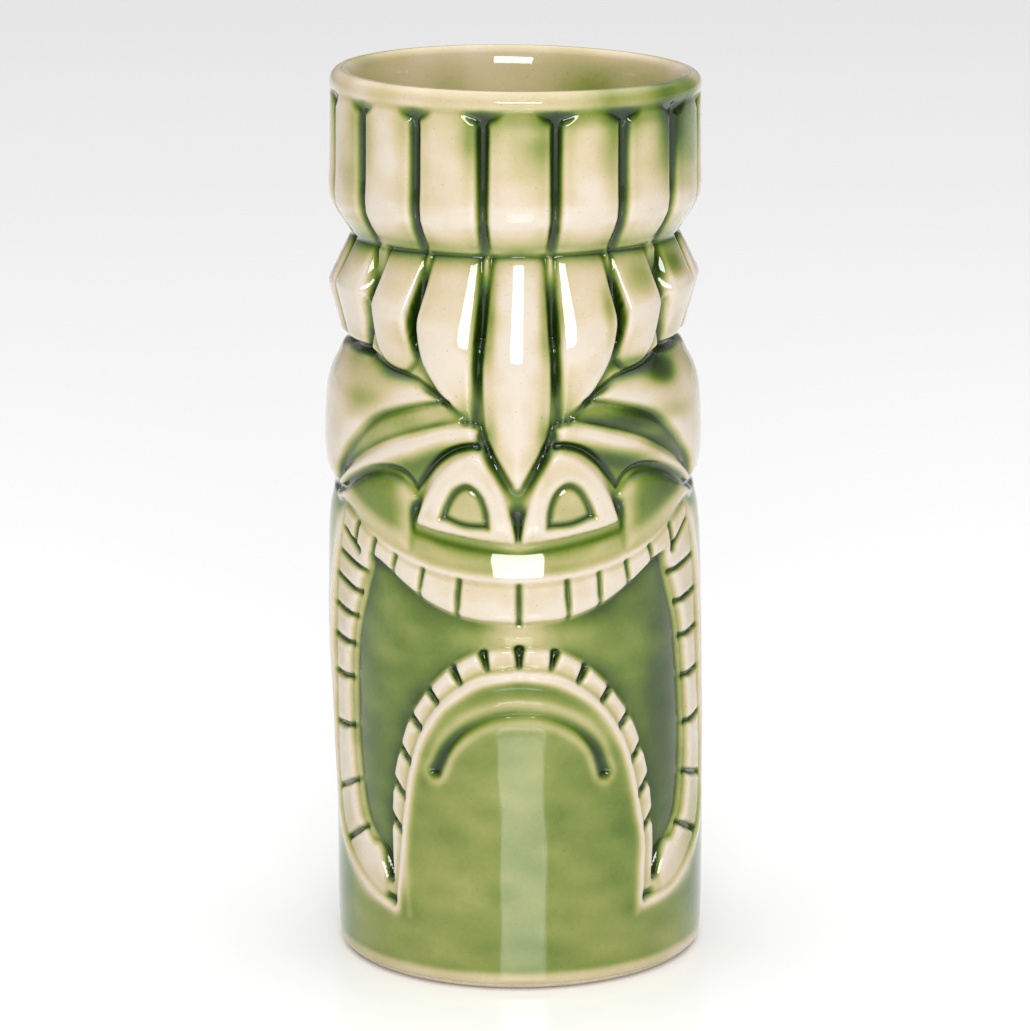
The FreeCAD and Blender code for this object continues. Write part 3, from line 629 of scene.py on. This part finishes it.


# ---------------------------------------------------------------------------------------------------------
# Glaze: how thick it lies, from 0, thin and cream, to 1, pooled and nearly black-green; painted shade is
# added in a few places
# ---------------------------------------------------------------------------------------------------------

# Loose green blotches, and two patches of painted shade: middle s and z, half-widths, and how much they add
# to the glaze's darkness.
GLAZE_BLOTCHES_AND_SHADE = [
    # the headdress and the rim
    (26, 164, 16, 3.0, 0.38), (32, 158, 4.5, 8, 0.4), (40, 159, 6, 10, 0.5), (3, 163.2, 13, 1.8, 0.24),
    (-8, 158, 2.6, 6, 0.2), (17, 158, 3, 7, 0.18), (1.5, 157.5, 5, 6, 0.18), (-20, 163.5, 3, 1.6, 0.1),
    (-38, 152, 4, 12, 0.12), (-32, 158, 3, 5, 0.12),
    # the ridges and the nose
    (26.5, 132, 4.5, 3.6, 0.36), (37, 133.6, 6, 2.6, 0.45), (-8, 128, 1.3, 9, 0.24), (9, 127, 1.3, 5, 0.26),
    (18, 127, 1.5, 5, 0.26), (5.1, 128, 1.0, 9, 0.22), (-5.1, 128, 1.0, 9, 0.22), (4.8, 105, 1.2, 7, 0.2),
    (-4.8, 105, 1.2, 7, 0.2), (9.6, 108.4, 2.2, 3.2, 0.24), (-9.6, 108.4, 2.2, 3.2, 0.2),
    # the lobes, the eyelids and the brows
    (33.5, 114.6, 5.5, 2.8, 0.7), (27, 117.2, 8, 1.3, 0.4), (25, 100.4, 8, 2.4, 0.26),
    (25, 107, 13, 2.4, 0.3), (-36, 112, 9, 6, 0.14), (-32, 109.5, 7, 3.4, 0.2), (52, 112, 8, 5, 0.2),
    (38, 106, 8, 5, 0.06),
    # the cheeks, the mouth and the chin; the two at s ±45, z 20 are painted shade near the silhouettes
    (31, 93, 9, 2.6, 0.06), (33, 54, 7, 24, 0.28), (-34, 54, 5, 22, 0.1), (18, 32, 6, 18, 0.08),
    (-13, 32, 9, 20, -0.04), (45, 20, 9, 14, 0.26), (-45, 20, 8, 12, 0.2),
    # the sides and the back
    (-70, 155, 9, 9, 0.4), (-85, 128, 8, 6, 0.35), (80, 108, 10, 7, 0.45), (100, 150, 12, 12, 0.4),
    (66, 130, 5, 6, 0.3),
]


LOWER_COAT = 0.48          # on the mouth, the chin and the sides below the brow
UPPER_COAT = 0.08          # on the brow and the headdress
FOOT_COAT = 0.12


def headdress_glaze_and_shade(coat_and_shade):
    """Pooled glaze and painted shade at the panels' down-facing lower ends; more glaze along their edges and
    under the notches between them.
    """
    across, _ = cell()
    on_panels = ramp(Z, 138, 140) * ramp(165 - Z, 0, 1)
    edges = 0.1 * ramp(across, 0.5, 5.5) + 0.07 * ramp(-across, 2.5, 5.5)
    # The first term darkens the panels' lower ends: pooled glaze, with painted shade where they face down.
    coat_and_shade += on_panels * (0.12 * ramp(144.5 - Z, 0, 3) + edges * (0.6 + 0.8 * ramp(Z, 146, 160)))
    coat_and_shade += 0.12 * np.exp(-((Z - 160.8) / 2.6) ** 2 - ((PITCH / 2 - np.abs(across)) / 4.0) ** 2)


def face_glaze(coat_and_shade):
    """Cheeks, eyelids, brows, the band under the eyes, and the eyes with a dark ring round each pupil."""
    def cheek(s, z, depth):
        above_lip = z - interpolated(np.abs(s), LIP_TOP)
        return 0.2 + 0.37 * ramp(above_lip, 3.0, 6.5) * ramp(np.abs(s), 20.5, 25)

    for turn, lid in zip(BOTH_SIDES, (0.5, 0.31)):
        def brow(s, z, depth):
            return 0.1 + 0.4 * ramp(line_distance(s, z, turn(LID_BOTTOM))[0], 1.8, 5.5)

        shape_to(coat_and_shade, turn(CHEEK), cheek, 2.2)
        shape_to(coat_and_shade, turn(EYELID), lid, 1.0)
        shape_to(coat_and_shade, turn(BROW), brow, 0.6)
    shape_to(coat_and_shade, EYE_BAND, 0.27, 2.6)
    for turn in BOTH_SIDES:
        shape_to(coat_and_shade, turn(EYE), 0.1, 0.6)
        shape_to(coat_and_shade, turn(PUPIL), 0.18, 0.6)
        swell(coat_and_shade, closed(turn(PUPIL)), 0.3, 0.65)


def mouth_glaze(coat_and_shade):
    """Thin glaze on the lip and the teeth, dark lines in their gaps, and green in the hollow."""
    part = window(MOUTH, 9)
    s, z = S[part], Z[part]
    to_lip = loop_distance(s, z, MOUTH)
    to_hollow = loop_distance(s, z, HOLLOW)
    lip_width = 1.3 + 2.2 * ramp(np.abs(s), 30, 40)
    on_lip = np.exp(-(np.maximum(-to_lip - 0.4, 0) / lip_width) ** 2)
    coat_and_shade[part] += on_lip * (0.1 - coat_and_shade[part])
    tooth = 0.05 + 0.07 * ramp(66 - z, 0, 2) * ramp(30 - np.abs(s), 0, 2) + 0.07 * ramp(np.abs(s), 36, 42)
    tooth += 0.12 * np.exp(-((to_hollow + 0.3) / 0.7) ** 2)
    for line, *_ in tooth_gaps():
        tooth += 0.3 * np.exp(-(line_distance(s, z, line)[0] / 0.5) ** 2)
    coat_and_shade[part] += ease(to_lip / 0.5 + 0.5) * (tooth - coat_and_shade[part])
    middle = np.exp(-(s / 9) ** 2) * ramp(z, 60, 67)
    field = 0.53 - 0.37 * middle - 0.12 * np.exp(-(np.maximum(to_hollow, 0) / 1.2) ** 2)
    coat_and_shade[part] += ease((to_hollow - 0.2) / 0.6) * (field - coat_and_shade[part])


def pooled_glaze(height):
    """What the fired glaze gains in grooves and loses on edges."""
    fine = blurred(height, 0.8) - height
    wide = blurred(height, 2.6) - height
    deep = filled(height, 4)
    pooled = 0.16 * deep + 0.3 * blurred(deep, 1.3) + 0.26 * blurred(deep, 2.6) + 0.05 * filled(height, 11)
    pooled += 0.34 * np.maximum(fine, 0) - 0.75 * np.maximum(-fine, 0)
    return pooled + 0.2 * wide


# How thick the glaze lies, with painted shade added near the side silhouettes and on the panels' lower ends.
def glaze_and_painted_shade(height):
    coat_and_shade = np.full(S.shape, LOWER_COAT)
    coat_and_shade += (UPPER_COAT - LOWER_COAT) * ramp(Z, 90.5, 93.5) + 0.07 * ramp(Z, 163.6, 164.8)
    coat_and_shade += (FOOT_COAT - LOWER_COAT) * ramp(4.2 - Z, 0, 1.8)
    # Painted shade: darker towards the silhouettes at the sides, below the brow.
    coat_and_shade += 0.06 * ramp(np.abs(S), 44, 52) * (Z < 90)
    headdress_glaze_and_shade(coat_and_shade)
    face_glaze(coat_and_shade)
    mouth_glaze(coat_and_shade)
    coat_and_shade += pooled_glaze(height)
    for s_middle, z_middle, half_s, half_z, more in GLAZE_BLOTCHES_AND_SHADE:
        across = (S - s_middle + ROUND / 2) % ROUND - ROUND / 2
        coat_and_shade += more * np.exp(-((across / half_s) ** 2 + ((Z - z_middle) / half_z) ** 2) ** 1.3)
    groove = line_distance(S, Z, CHIN_GROOVE)[0]
    coat_and_shade -= 0.16 * np.exp(-((groove - 1.9) / 0.8) ** 2)
    coat_and_shade -= 0.1 * np.exp(-(groove / 1.0) ** 2) * ramp(Z, 44, 50)
    coat_and_shade += 0.04 * drift(5, [40, 18, 9, 5])

    # The line under the eyes stays green; only the crevice between them may go darker.
    beside_line = np.exp(-((Z - interpolated(np.abs(S), EYE_FOOT)) / 2.2) ** 2) * ramp(21 - np.abs(S), 0, 1.5)
    most = 1 - beside_line * (0.57 + 0.15 * np.exp(-(S / 3.5) ** 2))
    in_crevice = (np.abs(S) < 1.2) * ramp(Z, 85.4, 86.4)
    return clip01(np.minimum(coat_and_shade, np.maximum(most, in_crevice)))


# ---------------------------------------------------------------------------------------------------------
# Meshes
# ---------------------------------------------------------------------------------------------------------

FRONT = 174                # columns each side of the middle that are all kept; beyond, every second one is
KEPT = np.concatenate([
    np.arange(MIDDLE_COLUMN - FRONT, MIDDLE_COLUMN + FRONT + 1),
    np.arange(MIDDLE_COLUMN + FRONT + 2, COLUMNS, 2),
    np.arange(1, MIDDLE_COLUMN - FRONT, 2),
])
COARSE_STEP = 3            # between rows and columns of the surfaces that are plain or hidden
COARSE = KEPT[::COARSE_STEP]
CLAY_EDGE = 34.02          # radius of the clay where the glaze stops

# How far to the right the mug leans out of true at some heights.
LEAN = [
    (5, 0.35), (25, 0.45), (45, 0.1), (60, -0.25), (80, -0.25), (100, -0.42), (118, -0.38), (135, 0.1),
    (150, 0.3), (168, 0.5),
]


def placed(radius, height, angles):
    """Points in the frame's metres, with the mug's lean and the unevenness of a hand-finished lip."""
    height = height + (0.1 * np.sin(2 * angles + 1) - 0.55 * np.sin(angles)) * ramp(height, 150, 168)
    sway = interpolated(height, LEAN)
    return np.stack([radius * np.sin(angles) + sway, -radius * np.cos(angles), height], axis=-1) * UNIT


def rings(columns, *rows):
    """Points of circles, each given as a radius and a height, at some columns' angles."""
    angles = ANGLES[columns]
    points = []
    for radius, height in rows:
        points.append(placed(np.full_like(angles, radius), np.full_like(angles, height), angles))
    return np.array(points)


def strip(first, rows, columns, flipped=False):
    """Quads between neighbouring rings of a grid of points that closes round."""
    row = np.arange(rows - 1)[:, None] * columns + first
    here = np.arange(columns)[None, :]
    beside = (here + 1) % columns
    above = row + columns
    quads = np.stack([row + here, row + beside, above + beside, above + here], -1).reshape(-1, 4)
    return (quads[:, ::-1] if flipped else quads).tolist()


def new_piece(name, points, faces, node, attribute=None):
    mesh = bpy.data.meshes.new(name)
    mesh.from_pydata(points.reshape(-1, 3).tolist(), [], faces)
    mesh.polygons.foreach_set("use_smooth", [True] * len(mesh.polygons))
    if attribute is not None:
        # The glaze attribute holds how thick the glaze lies, with painted shade added in places.
        mesh.attributes.new("glaze", "FLOAT", "POINT").data.foreach_set("value", attribute.astype(np.float32))
    mesh.validate()
    mesh.update()
    piece = bpy.data.objects.new(name, mesh)
    bpy.context.scene.collection.objects.link(piece)
    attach(piece, "root")
    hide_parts(node)
    return piece


def lip_arc(inset, steps, start=0.0):
    """Circles over the outside of the lip, from its side to its crown."""
    reach = RIM_RADIUS - CROWN_RADIUS - inset
    turns = np.radians(np.linspace(start, 90, steps))
    return [(CROWN_RADIUS + reach * math.cos(a) ** 0.85, LIP_START + reach * math.sin(a)) for a in turns]


def clay_rows(height):
    """The clay's outside under the glaze, on the coarse grid, up to its crown."""
    clay = (lowest_near(height, COARSE_STEP) - COAT)[::COARSE_STEP, COARSE]
    low = rings(COARSE, (CLAY_EDGE, FOOT_EDGE))
    angles = np.broadcast_to(ANGLES[COARSE], clay.shape)
    heights = np.broadcast_to(Z_LINE[::COARSE_STEP, None], clay.shape)
    return np.concatenate([low, placed(clay, heights, angles), rings(COARSE, *lip_arc(COAT, 5, 12))])


def outside_glaze(height, coat_and_shade):
    fine = height[:, KEPT]
    angles = np.broadcast_to(ANGLES[KEPT], fine.shape)
    heights = np.broadcast_to(Z_LINE[:, None], fine.shape)
    foot = rings(KEPT, (CLAY_EDGE + 0.06, FOOT_EDGE - 0.02), (CLAY_EDGE + 0.25, FOOT_EDGE),
                 (CLAY_EDGE + 0.38, FOOT_EDGE + 0.22))
    lip = rings(KEPT, *lip_arc(0, 10)[1:])
    outer = np.concatenate([foot, placed(fine, heights, angles), lip])
    inner = clay_rows(height)
    columns = len(KEPT)
    few = len(COARSE)
    below = outer.shape[0] * columns
    faces = strip(0, outer.shape[0], columns)
    faces += strip(below, inner.shape[0], few, flipped=True)
    top = (outer.shape[0] - 1) * columns
    inner_top = below + (inner.shape[0] - 1) * few
    for place in range(few):
        wide = [(COARSE_STEP * place + step) % columns for step in range(COARSE_STEP + 1)]
        after = (place + 1) % few
        faces.append([below + place, below + after] + wide[::-1])
        faces.append([top + column for column in wide] + [inner_top + after, inner_top + place])
    tint = coat_and_shade[:, KEPT]
    attribute = np.concatenate([
        np.repeat(tint[:1], len(foot), 0).ravel(), tint.ravel(), np.repeat(tint[-1:], len(lip), 0).ravel(),
        np.full(inner.shape[0] * few, 0.2),
    ])
    points = np.concatenate([outer.reshape(-1, 3), inner.reshape(-1, 3)])
    return new_piece("outside_glaze", points, faces, "outer_glaze", attribute)


# The inside of the cup, from its lip down: a height and the radius there.
CUP = [
    (165.6, 30.4), (165.0, 30.27), (163.5, 30.12), (160.0, 29.9), (147.0, 29.8), (139.0, 27.3), (126.0, 27.2),
    (113.0, 27.3), (104.0, 29.8), (96.0, 29.9), (11.3, 29.9),
]
FLOOR_ROUND = 6.0

# Blotches inside the cup: angle from the front, height, half-widths and how much glaze they add.
INSIDE_BLOTCHES = [
    (150, 160, 14, 5, 0.25), (205, 158, 10, 6, 0.2), (178, 150, 25, 6, 0.15), (120, 156, 12, 7, 0.25),
    (240, 150, 14, 9, 0.2),
]


def cup_rows(back):
    """The inside from the crown of the lip to the edge of the floor, back millimetres behind the glaze."""
    lip_height, lip_radius = CUP[0]
    lip_rise = MUG_HEIGHT - lip_height - back
    lip_reach = CROWN_RADIUS - lip_radius - back
    rows = []
    for turn in np.radians(np.linspace(90, 156, 8)):
        rows.append((CROWN_RADIUS + lip_reach * math.cos(turn), lip_height + lip_rise * math.sin(turn)))
    floor_start, wall_radius = CUP[-1]
    heights = np.arange(lip_height - 1, floor_start, -1.0)
    radii = interpolated(heights, CUP[::-1])
    for _ in range(2):
        radii[1:-1] = (radii[:-2] + 2 * radii[1:-1] + radii[2:]) / 4
    rows += [(radius + back, height) for radius, height in zip(radii, heights)]
    corner = wall_radius - FLOOR_ROUND
    reach = FLOOR_ROUND + back
    for turn in np.radians(np.linspace(0, 90, 9)):
        rows.append((corner + reach * math.cos(turn), FLOOR_HEIGHT + FLOOR_ROUND - reach * math.sin(turn)))
    rows += [(corner * share, FLOOR_HEIGHT - back) for share in (0.75, 0.5, 0.25, 0.08)]
    return rows


def disc(centre_point, first, columns, flipped=False):
    """Triangles from a ring to one point."""
    ring = [(first + place, first + (place + 1) % columns) for place in range(columns)]
    return [[b, a, centre_point] if flipped else [a, b, centre_point] for a, b in ring]


def inside_glaze(coat_and_shade):
    few = len(COARSE)
    wet = rings(COARSE, *cup_rows(0))
    dry = rings(COARSE, *cup_rows(COAT))
    middle = np.array([[0, 0, FLOOR_HEIGHT], [0, 0, FLOOR_HEIGHT - COAT]]) * UNIT
    points = np.concatenate([wet.reshape(-1, 3), dry.reshape(-1, 3), middle])
    below = wet.shape[0] * few
    pole = 2 * below
    faces = strip(0, wet.shape[0], few) + strip(below, dry.shape[0], few, flipped=True)
    faces += disc(pole, below - few, few) + disc(pole + 1, pole - few, few, flipped=True)
    for place in range(few):
        after = (place + 1) % few
        faces.append([after, place, below + place, below + after])
    heights = np.array([height for _, height in cup_rows(0)])[:, None]
    angles = ANGLES[COARSE][None, :]
    lip_tint = coat_and_shade[-1, COARSE][None, :]
    inner_tint = 0.17 + 0.05 * np.sin(3 * angles + 1.3 + heights / 30) + 0.08 * ramp(150 - heights, 0, 40)
    for middle_angle, middle_height, half_angle, half_height, more in INSIDE_BLOTCHES:
        turn = np.angle(np.exp(1j * (angles - math.radians(middle_angle)))) / math.radians(half_angle)
        rise = (heights - middle_height) / half_height
        inner_tint = inner_tint + more * np.exp(-(turn**2 + rise**2))
    share = ramp(heights, 164.6, 167.6)
    tint = inner_tint + share * (lip_tint - inner_tint)
    attribute = np.concatenate([clip01(tint).ravel(), np.full(below + 2, 0.3)])
    return new_piece("inside_glaze", points, faces, "liner_glaze", attribute)


# The bare foot and the underside, from the middle outwards: a radius and the height there.
RECESS_HEIGHT = 1.2
FOOT = [
    (2.0, RECESS_HEIGHT), (14.0, RECESS_HEIGHT), (27.3, RECESS_HEIGHT), (28.0, 0.8), (28.6, 0.0), (32.4, 0.0),
    (33.2, 0.22), (33.75, 0.66),
]


def clay_casting(height):
    few = len(COARSE)
    shell = np.concatenate([rings(COARSE, *FOOT), clay_rows(height), rings(COARSE, *cup_rows(COAT)[1:])])
    middle = np.array([[0, 0, RECESS_HEIGHT], [0, 0, FLOOR_HEIGHT - COAT]]) * UNIT
    points = np.concatenate([shell.reshape(-1, 3), middle])
    pole = shell.shape[0] * few
    faces = strip(0, shell.shape[0], few) + disc(pole, 0, few, flipped=True) + disc(pole + 1, pole - few, few)
    return new_piece("clay_casting", points, faces, "earthenware_body")


# ---------------------------------------------------------------------------------------------------------
# Materials
# ---------------------------------------------------------------------------------------------------------

def add_node(tree, kind, **values):
    """A node with its settings, and its inputs set by name."""
    node = tree.nodes.new(kind)
    for name, value in values.items():
        if name in node.inputs:
            node.inputs[name].default_value = value
        else:
            setattr(node, name, value)
    return node


def new_material(name):
    material = bpy.data.materials.new(name)
    material.use_nodes = True
    tree = material.node_tree
    return material, tree, tree.nodes["Principled BSDF"]


def feed(tree, value, socket):
    """Gives an input a plain value, or links another node's output to it."""
    if isinstance(value, bpy.types.NodeSocket):
        tree.links.new(value, socket)
    else:
        socket.default_value = value


def arithmetic(tree, operation, first, second):
    """A Math node; either input is a socket or a number."""
    node = add_node(tree, "ShaderNodeMath", operation=operation)
    for place, value in enumerate((first, second)):
        feed(tree, value, node.inputs[place])
    return node.outputs[0]


def mixed_colour(tree, blend, share, first, second):
    """A Mix node for colours; each input is a socket or a plain value."""
    node = add_node(tree, "ShaderNodeMix", data_type="RGBA", blend_type=blend)
    share_place, first_place, second_place, result_place = 0, 6, 7, 2
    feed(tree, share, node.inputs[share_place])
    feed(tree, first, node.inputs[first_place])
    feed(tree, second, node.inputs[second_place])
    return node.outputs[result_place]


def noise(tree, scale, detail, roughness):
    """Noise in the object's own space; scale is in cycles a metre."""
    place = add_node(tree, "ShaderNodeTexCoord")
    node = add_node(tree, "ShaderNodeTexNoise", Scale=scale, Detail=detail, Roughness=roughness)
    tree.links.new(place.outputs["Object"], node.inputs["Vector"])
    return node.outputs["Fac"]


def colour_ramp(tree, value, stops):
    node = tree.nodes.new("ShaderNodeValToRGB")
    ramp_stops = node.color_ramp.elements
    while len(ramp_stops) < len(stops):
        ramp_stops.new(0.5)
    for stop, (place, colour) in zip(ramp_stops, stops):
        stop.position = place
        stop.color = (*colour, 1)
    tree.links.new(value, node.inputs["Fac"])
    return node.outputs["Color"]


GLAZE_COLOURS = [
    (0.0, (0.62, 0.55, 0.45)),
    (0.1, (0.56, 0.465, 0.31)),
    (0.19, (0.48, 0.41, 0.22)),
    (0.3, (0.37, 0.345, 0.145)),
    (0.43, (0.225, 0.255, 0.055)),
    (0.57, (0.105, 0.165, 0.018)),
    (0.72, (0.042, 0.078, 0.007)),
    (0.88, (0.019, 0.040, 0.004)),
    (1.0, (0.009, 0.022, 0.002)),
]


def glaze_material(name):
    """Translucent green glaze over cream clay: its colour follows how thick it lies, and the painted shade
    carried in the same attribute.
    """
    material, tree, shader = new_material(name)
    coat_and_shade = add_node(tree, "ShaderNodeAttribute", attribute_name="glaze").outputs["Fac"]
    clouds = arithmetic(tree, "SUBTRACT", noise(tree, 90, 4, 0.6), 0.5)
    grain = arithmetic(tree, "SUBTRACT", noise(tree, 900, 3, 0.7), 0.5)
    thickness_and_shade = arithmetic(tree, "ADD", coat_and_shade, arithmetic(tree, "MULTIPLY", clouds, 0.16))
    thickness_and_shade = arithmetic(tree, "ADD", thickness_and_shade, arithmetic(tree, "MULTIPLY", grain, 0.07))
    colour = colour_ramp(tree, thickness_and_shade, GLAZE_COLOURS)

    specks = arithmetic(tree, "GREATER_THAN", noise(tree, 2600, 1, 0.4), 0.735)
    speckled = mixed_colour(tree, "MULTIPLY", arithmetic(tree, "MULTIPLY", specks, 0.45), colour,
                            (0.52, 0.40, 0.28, 1))
    tree.links.new(speckled, shader.inputs["Base Color"])

    uneven = arithmetic(tree, "MULTIPLY", noise(tree, 160, 3, 0.5), 0.12)
    tree.links.new(arithmetic(tree, "ADD", uneven, 0.16), shader.inputs["Roughness"])
    bump = add_node(tree, "ShaderNodeBump", Strength=0.35, Distance=0.00006)
    pits = arithmetic(tree, "MULTIPLY", grain, 0.25)
    tree.links.new(arithmetic(tree, "ADD", noise(tree, 420, 3, 0.55), pits), bump.inputs["Height"])
    tree.links.new(bump.outputs["Normal"], shader.inputs["Normal"])
    shader.inputs["IOR"].default_value = 1.5
    shader.inputs["Specular IOR Level"].default_value = 0.05
    shader.inputs["Coat Weight"].default_value = 0.85
    shader.inputs["Coat Roughness"].default_value = 0.03
    shader.inputs["Coat IOR"].default_value = 1.5
    return material


def clay_material():
    material, tree, shader = new_material("bare_clay")
    grain = noise(tree, 1500, 6, 0.75)
    colour = colour_ramp(tree, grain, [(0.3, (0.50, 0.41, 0.29)), (0.7, (0.72, 0.62, 0.47))])
    tree.links.new(colour, shader.inputs["Base Color"])
    roughness = arithmetic(tree, "ADD", arithmetic(tree, "MULTIPLY", grain, 0.2), 0.7)
    tree.links.new(roughness, shader.inputs["Roughness"])
    bump = add_node(tree, "ShaderNodeBump", Strength=0.5, Distance=0.0001)
    tree.links.new(grain, bump.inputs["Height"])
    tree.links.new(bump.outputs["Normal"], shader.inputs["Normal"])
    return material


# ---------------------------------------------------------------------------------------------------------
# Floor, light and camera
# ---------------------------------------------------------------------------------------------------------

def floor():
    mesh = bpy.data.meshes.new("floor")
    reach = 6.0
    corners = [(-reach, -reach, 0), (reach, -reach, 0), (reach, reach, 0), (-reach, reach, 0)]
    mesh.from_pydata(corners, [], [(0, 1, 2, 3)])
    plane = bpy.data.objects.new("floor", mesh)
    bpy.context.scene.collection.objects.link(plane)
    material, _, shader = new_material("pale_floor")
    shader.inputs["Base Color"].default_value = (0.90, 0.90, 0.90, 1)
    shader.inputs["Roughness"].default_value = 0.16
    shader.inputs["Specular IOR Level"].default_value = 1.0
    mesh.materials.append(material)


def softbox(name, place, aim, width, height, power):
    light = bpy.data.lights.new(name, "AREA")
    light.shape = "RECTANGLE"
    light.size = width
    light.size_y = height
    light.energy = power
    lamp = bpy.data.objects.new(name, light)
    lamp.location = place
    lamp.rotation_euler = (Vector(aim) - Vector(place)).to_track_quat("-Z", "Y").to_euler()
    bpy.context.scene.collection.objects.link(lamp)


def surround():
    """A white room behind and beside the mug, dimmer where a viewer of the face would stand."""
    world = bpy.data.worlds.new("studio")
    bpy.context.scene.world = world
    world.use_nodes = True
    tree = world.node_tree
    background = tree.nodes["Background"]
    direction = add_node(tree, "ShaderNodeTexCoord")
    axes = tree.nodes.new("ShaderNodeSeparateXYZ")
    tree.links.new(direction.outputs["Generated"], axes.inputs[0])
    behind = arithmetic(tree, "ADD", arithmetic(tree, "MULTIPLY", axes.outputs["Y"], 0.5), 0.5)
    round_horizon = colour_ramp(tree, behind, [(0.3, (0.05, 0.05, 0.05)), (0.8, (0.22, 0.22, 0.22))])
    overhead = colour_ramp(tree, axes.outputs["Z"], [(0.45, (0, 0, 0)), (0.85, (1.5, 1.5, 1.5))])
    both = mixed_colour(tree, "ADD", 1.0, round_horizon, overhead)
    tree.links.new(both, background.inputs["Color"])
    background.inputs["Strength"].default_value = 1.4


def camera():
    turn = math.radians(-1.2)
    distance = 0.85824
    view = bpy.data.cameras.new("camera")
    view.sensor_width = 36.0
    view.lens = 162.63
    holder = bpy.data.objects.new("camera", view)
    holder.location = (distance * math.sin(turn), -distance * math.cos(turn), 0.28433)
    aim = Vector((-0.00015, 0, 0.08282))
    look = (aim - holder.location).to_track_quat("-Z", "Y") @ Quaternion((0, 0, 1), math.radians(-0.35))
    holder.rotation_euler = look.to_euler()
    bpy.context.scene.collection.objects.link(holder)
    bpy.context.scene.camera = holder


relief = outside()
thickness_and_shade = glaze_and_painted_shade(relief)
glaze = glaze_material("green_cream_glaze")
outside_glaze(relief, thickness_and_shade).data.materials.append(glaze)
inside_glaze(thickness_and_shade).data.materials.append(glaze_material("liner_glaze"))
clay_casting(relief).data.materials.append(clay_material())

bpy.context.scene.view_settings.view_transform = "Standard"
floor()
surround()
softbox("front_softbox", (0.02, -1.3, 0.47), (0, 0, 0.1), 0.65, 0.26, 11)
camera()
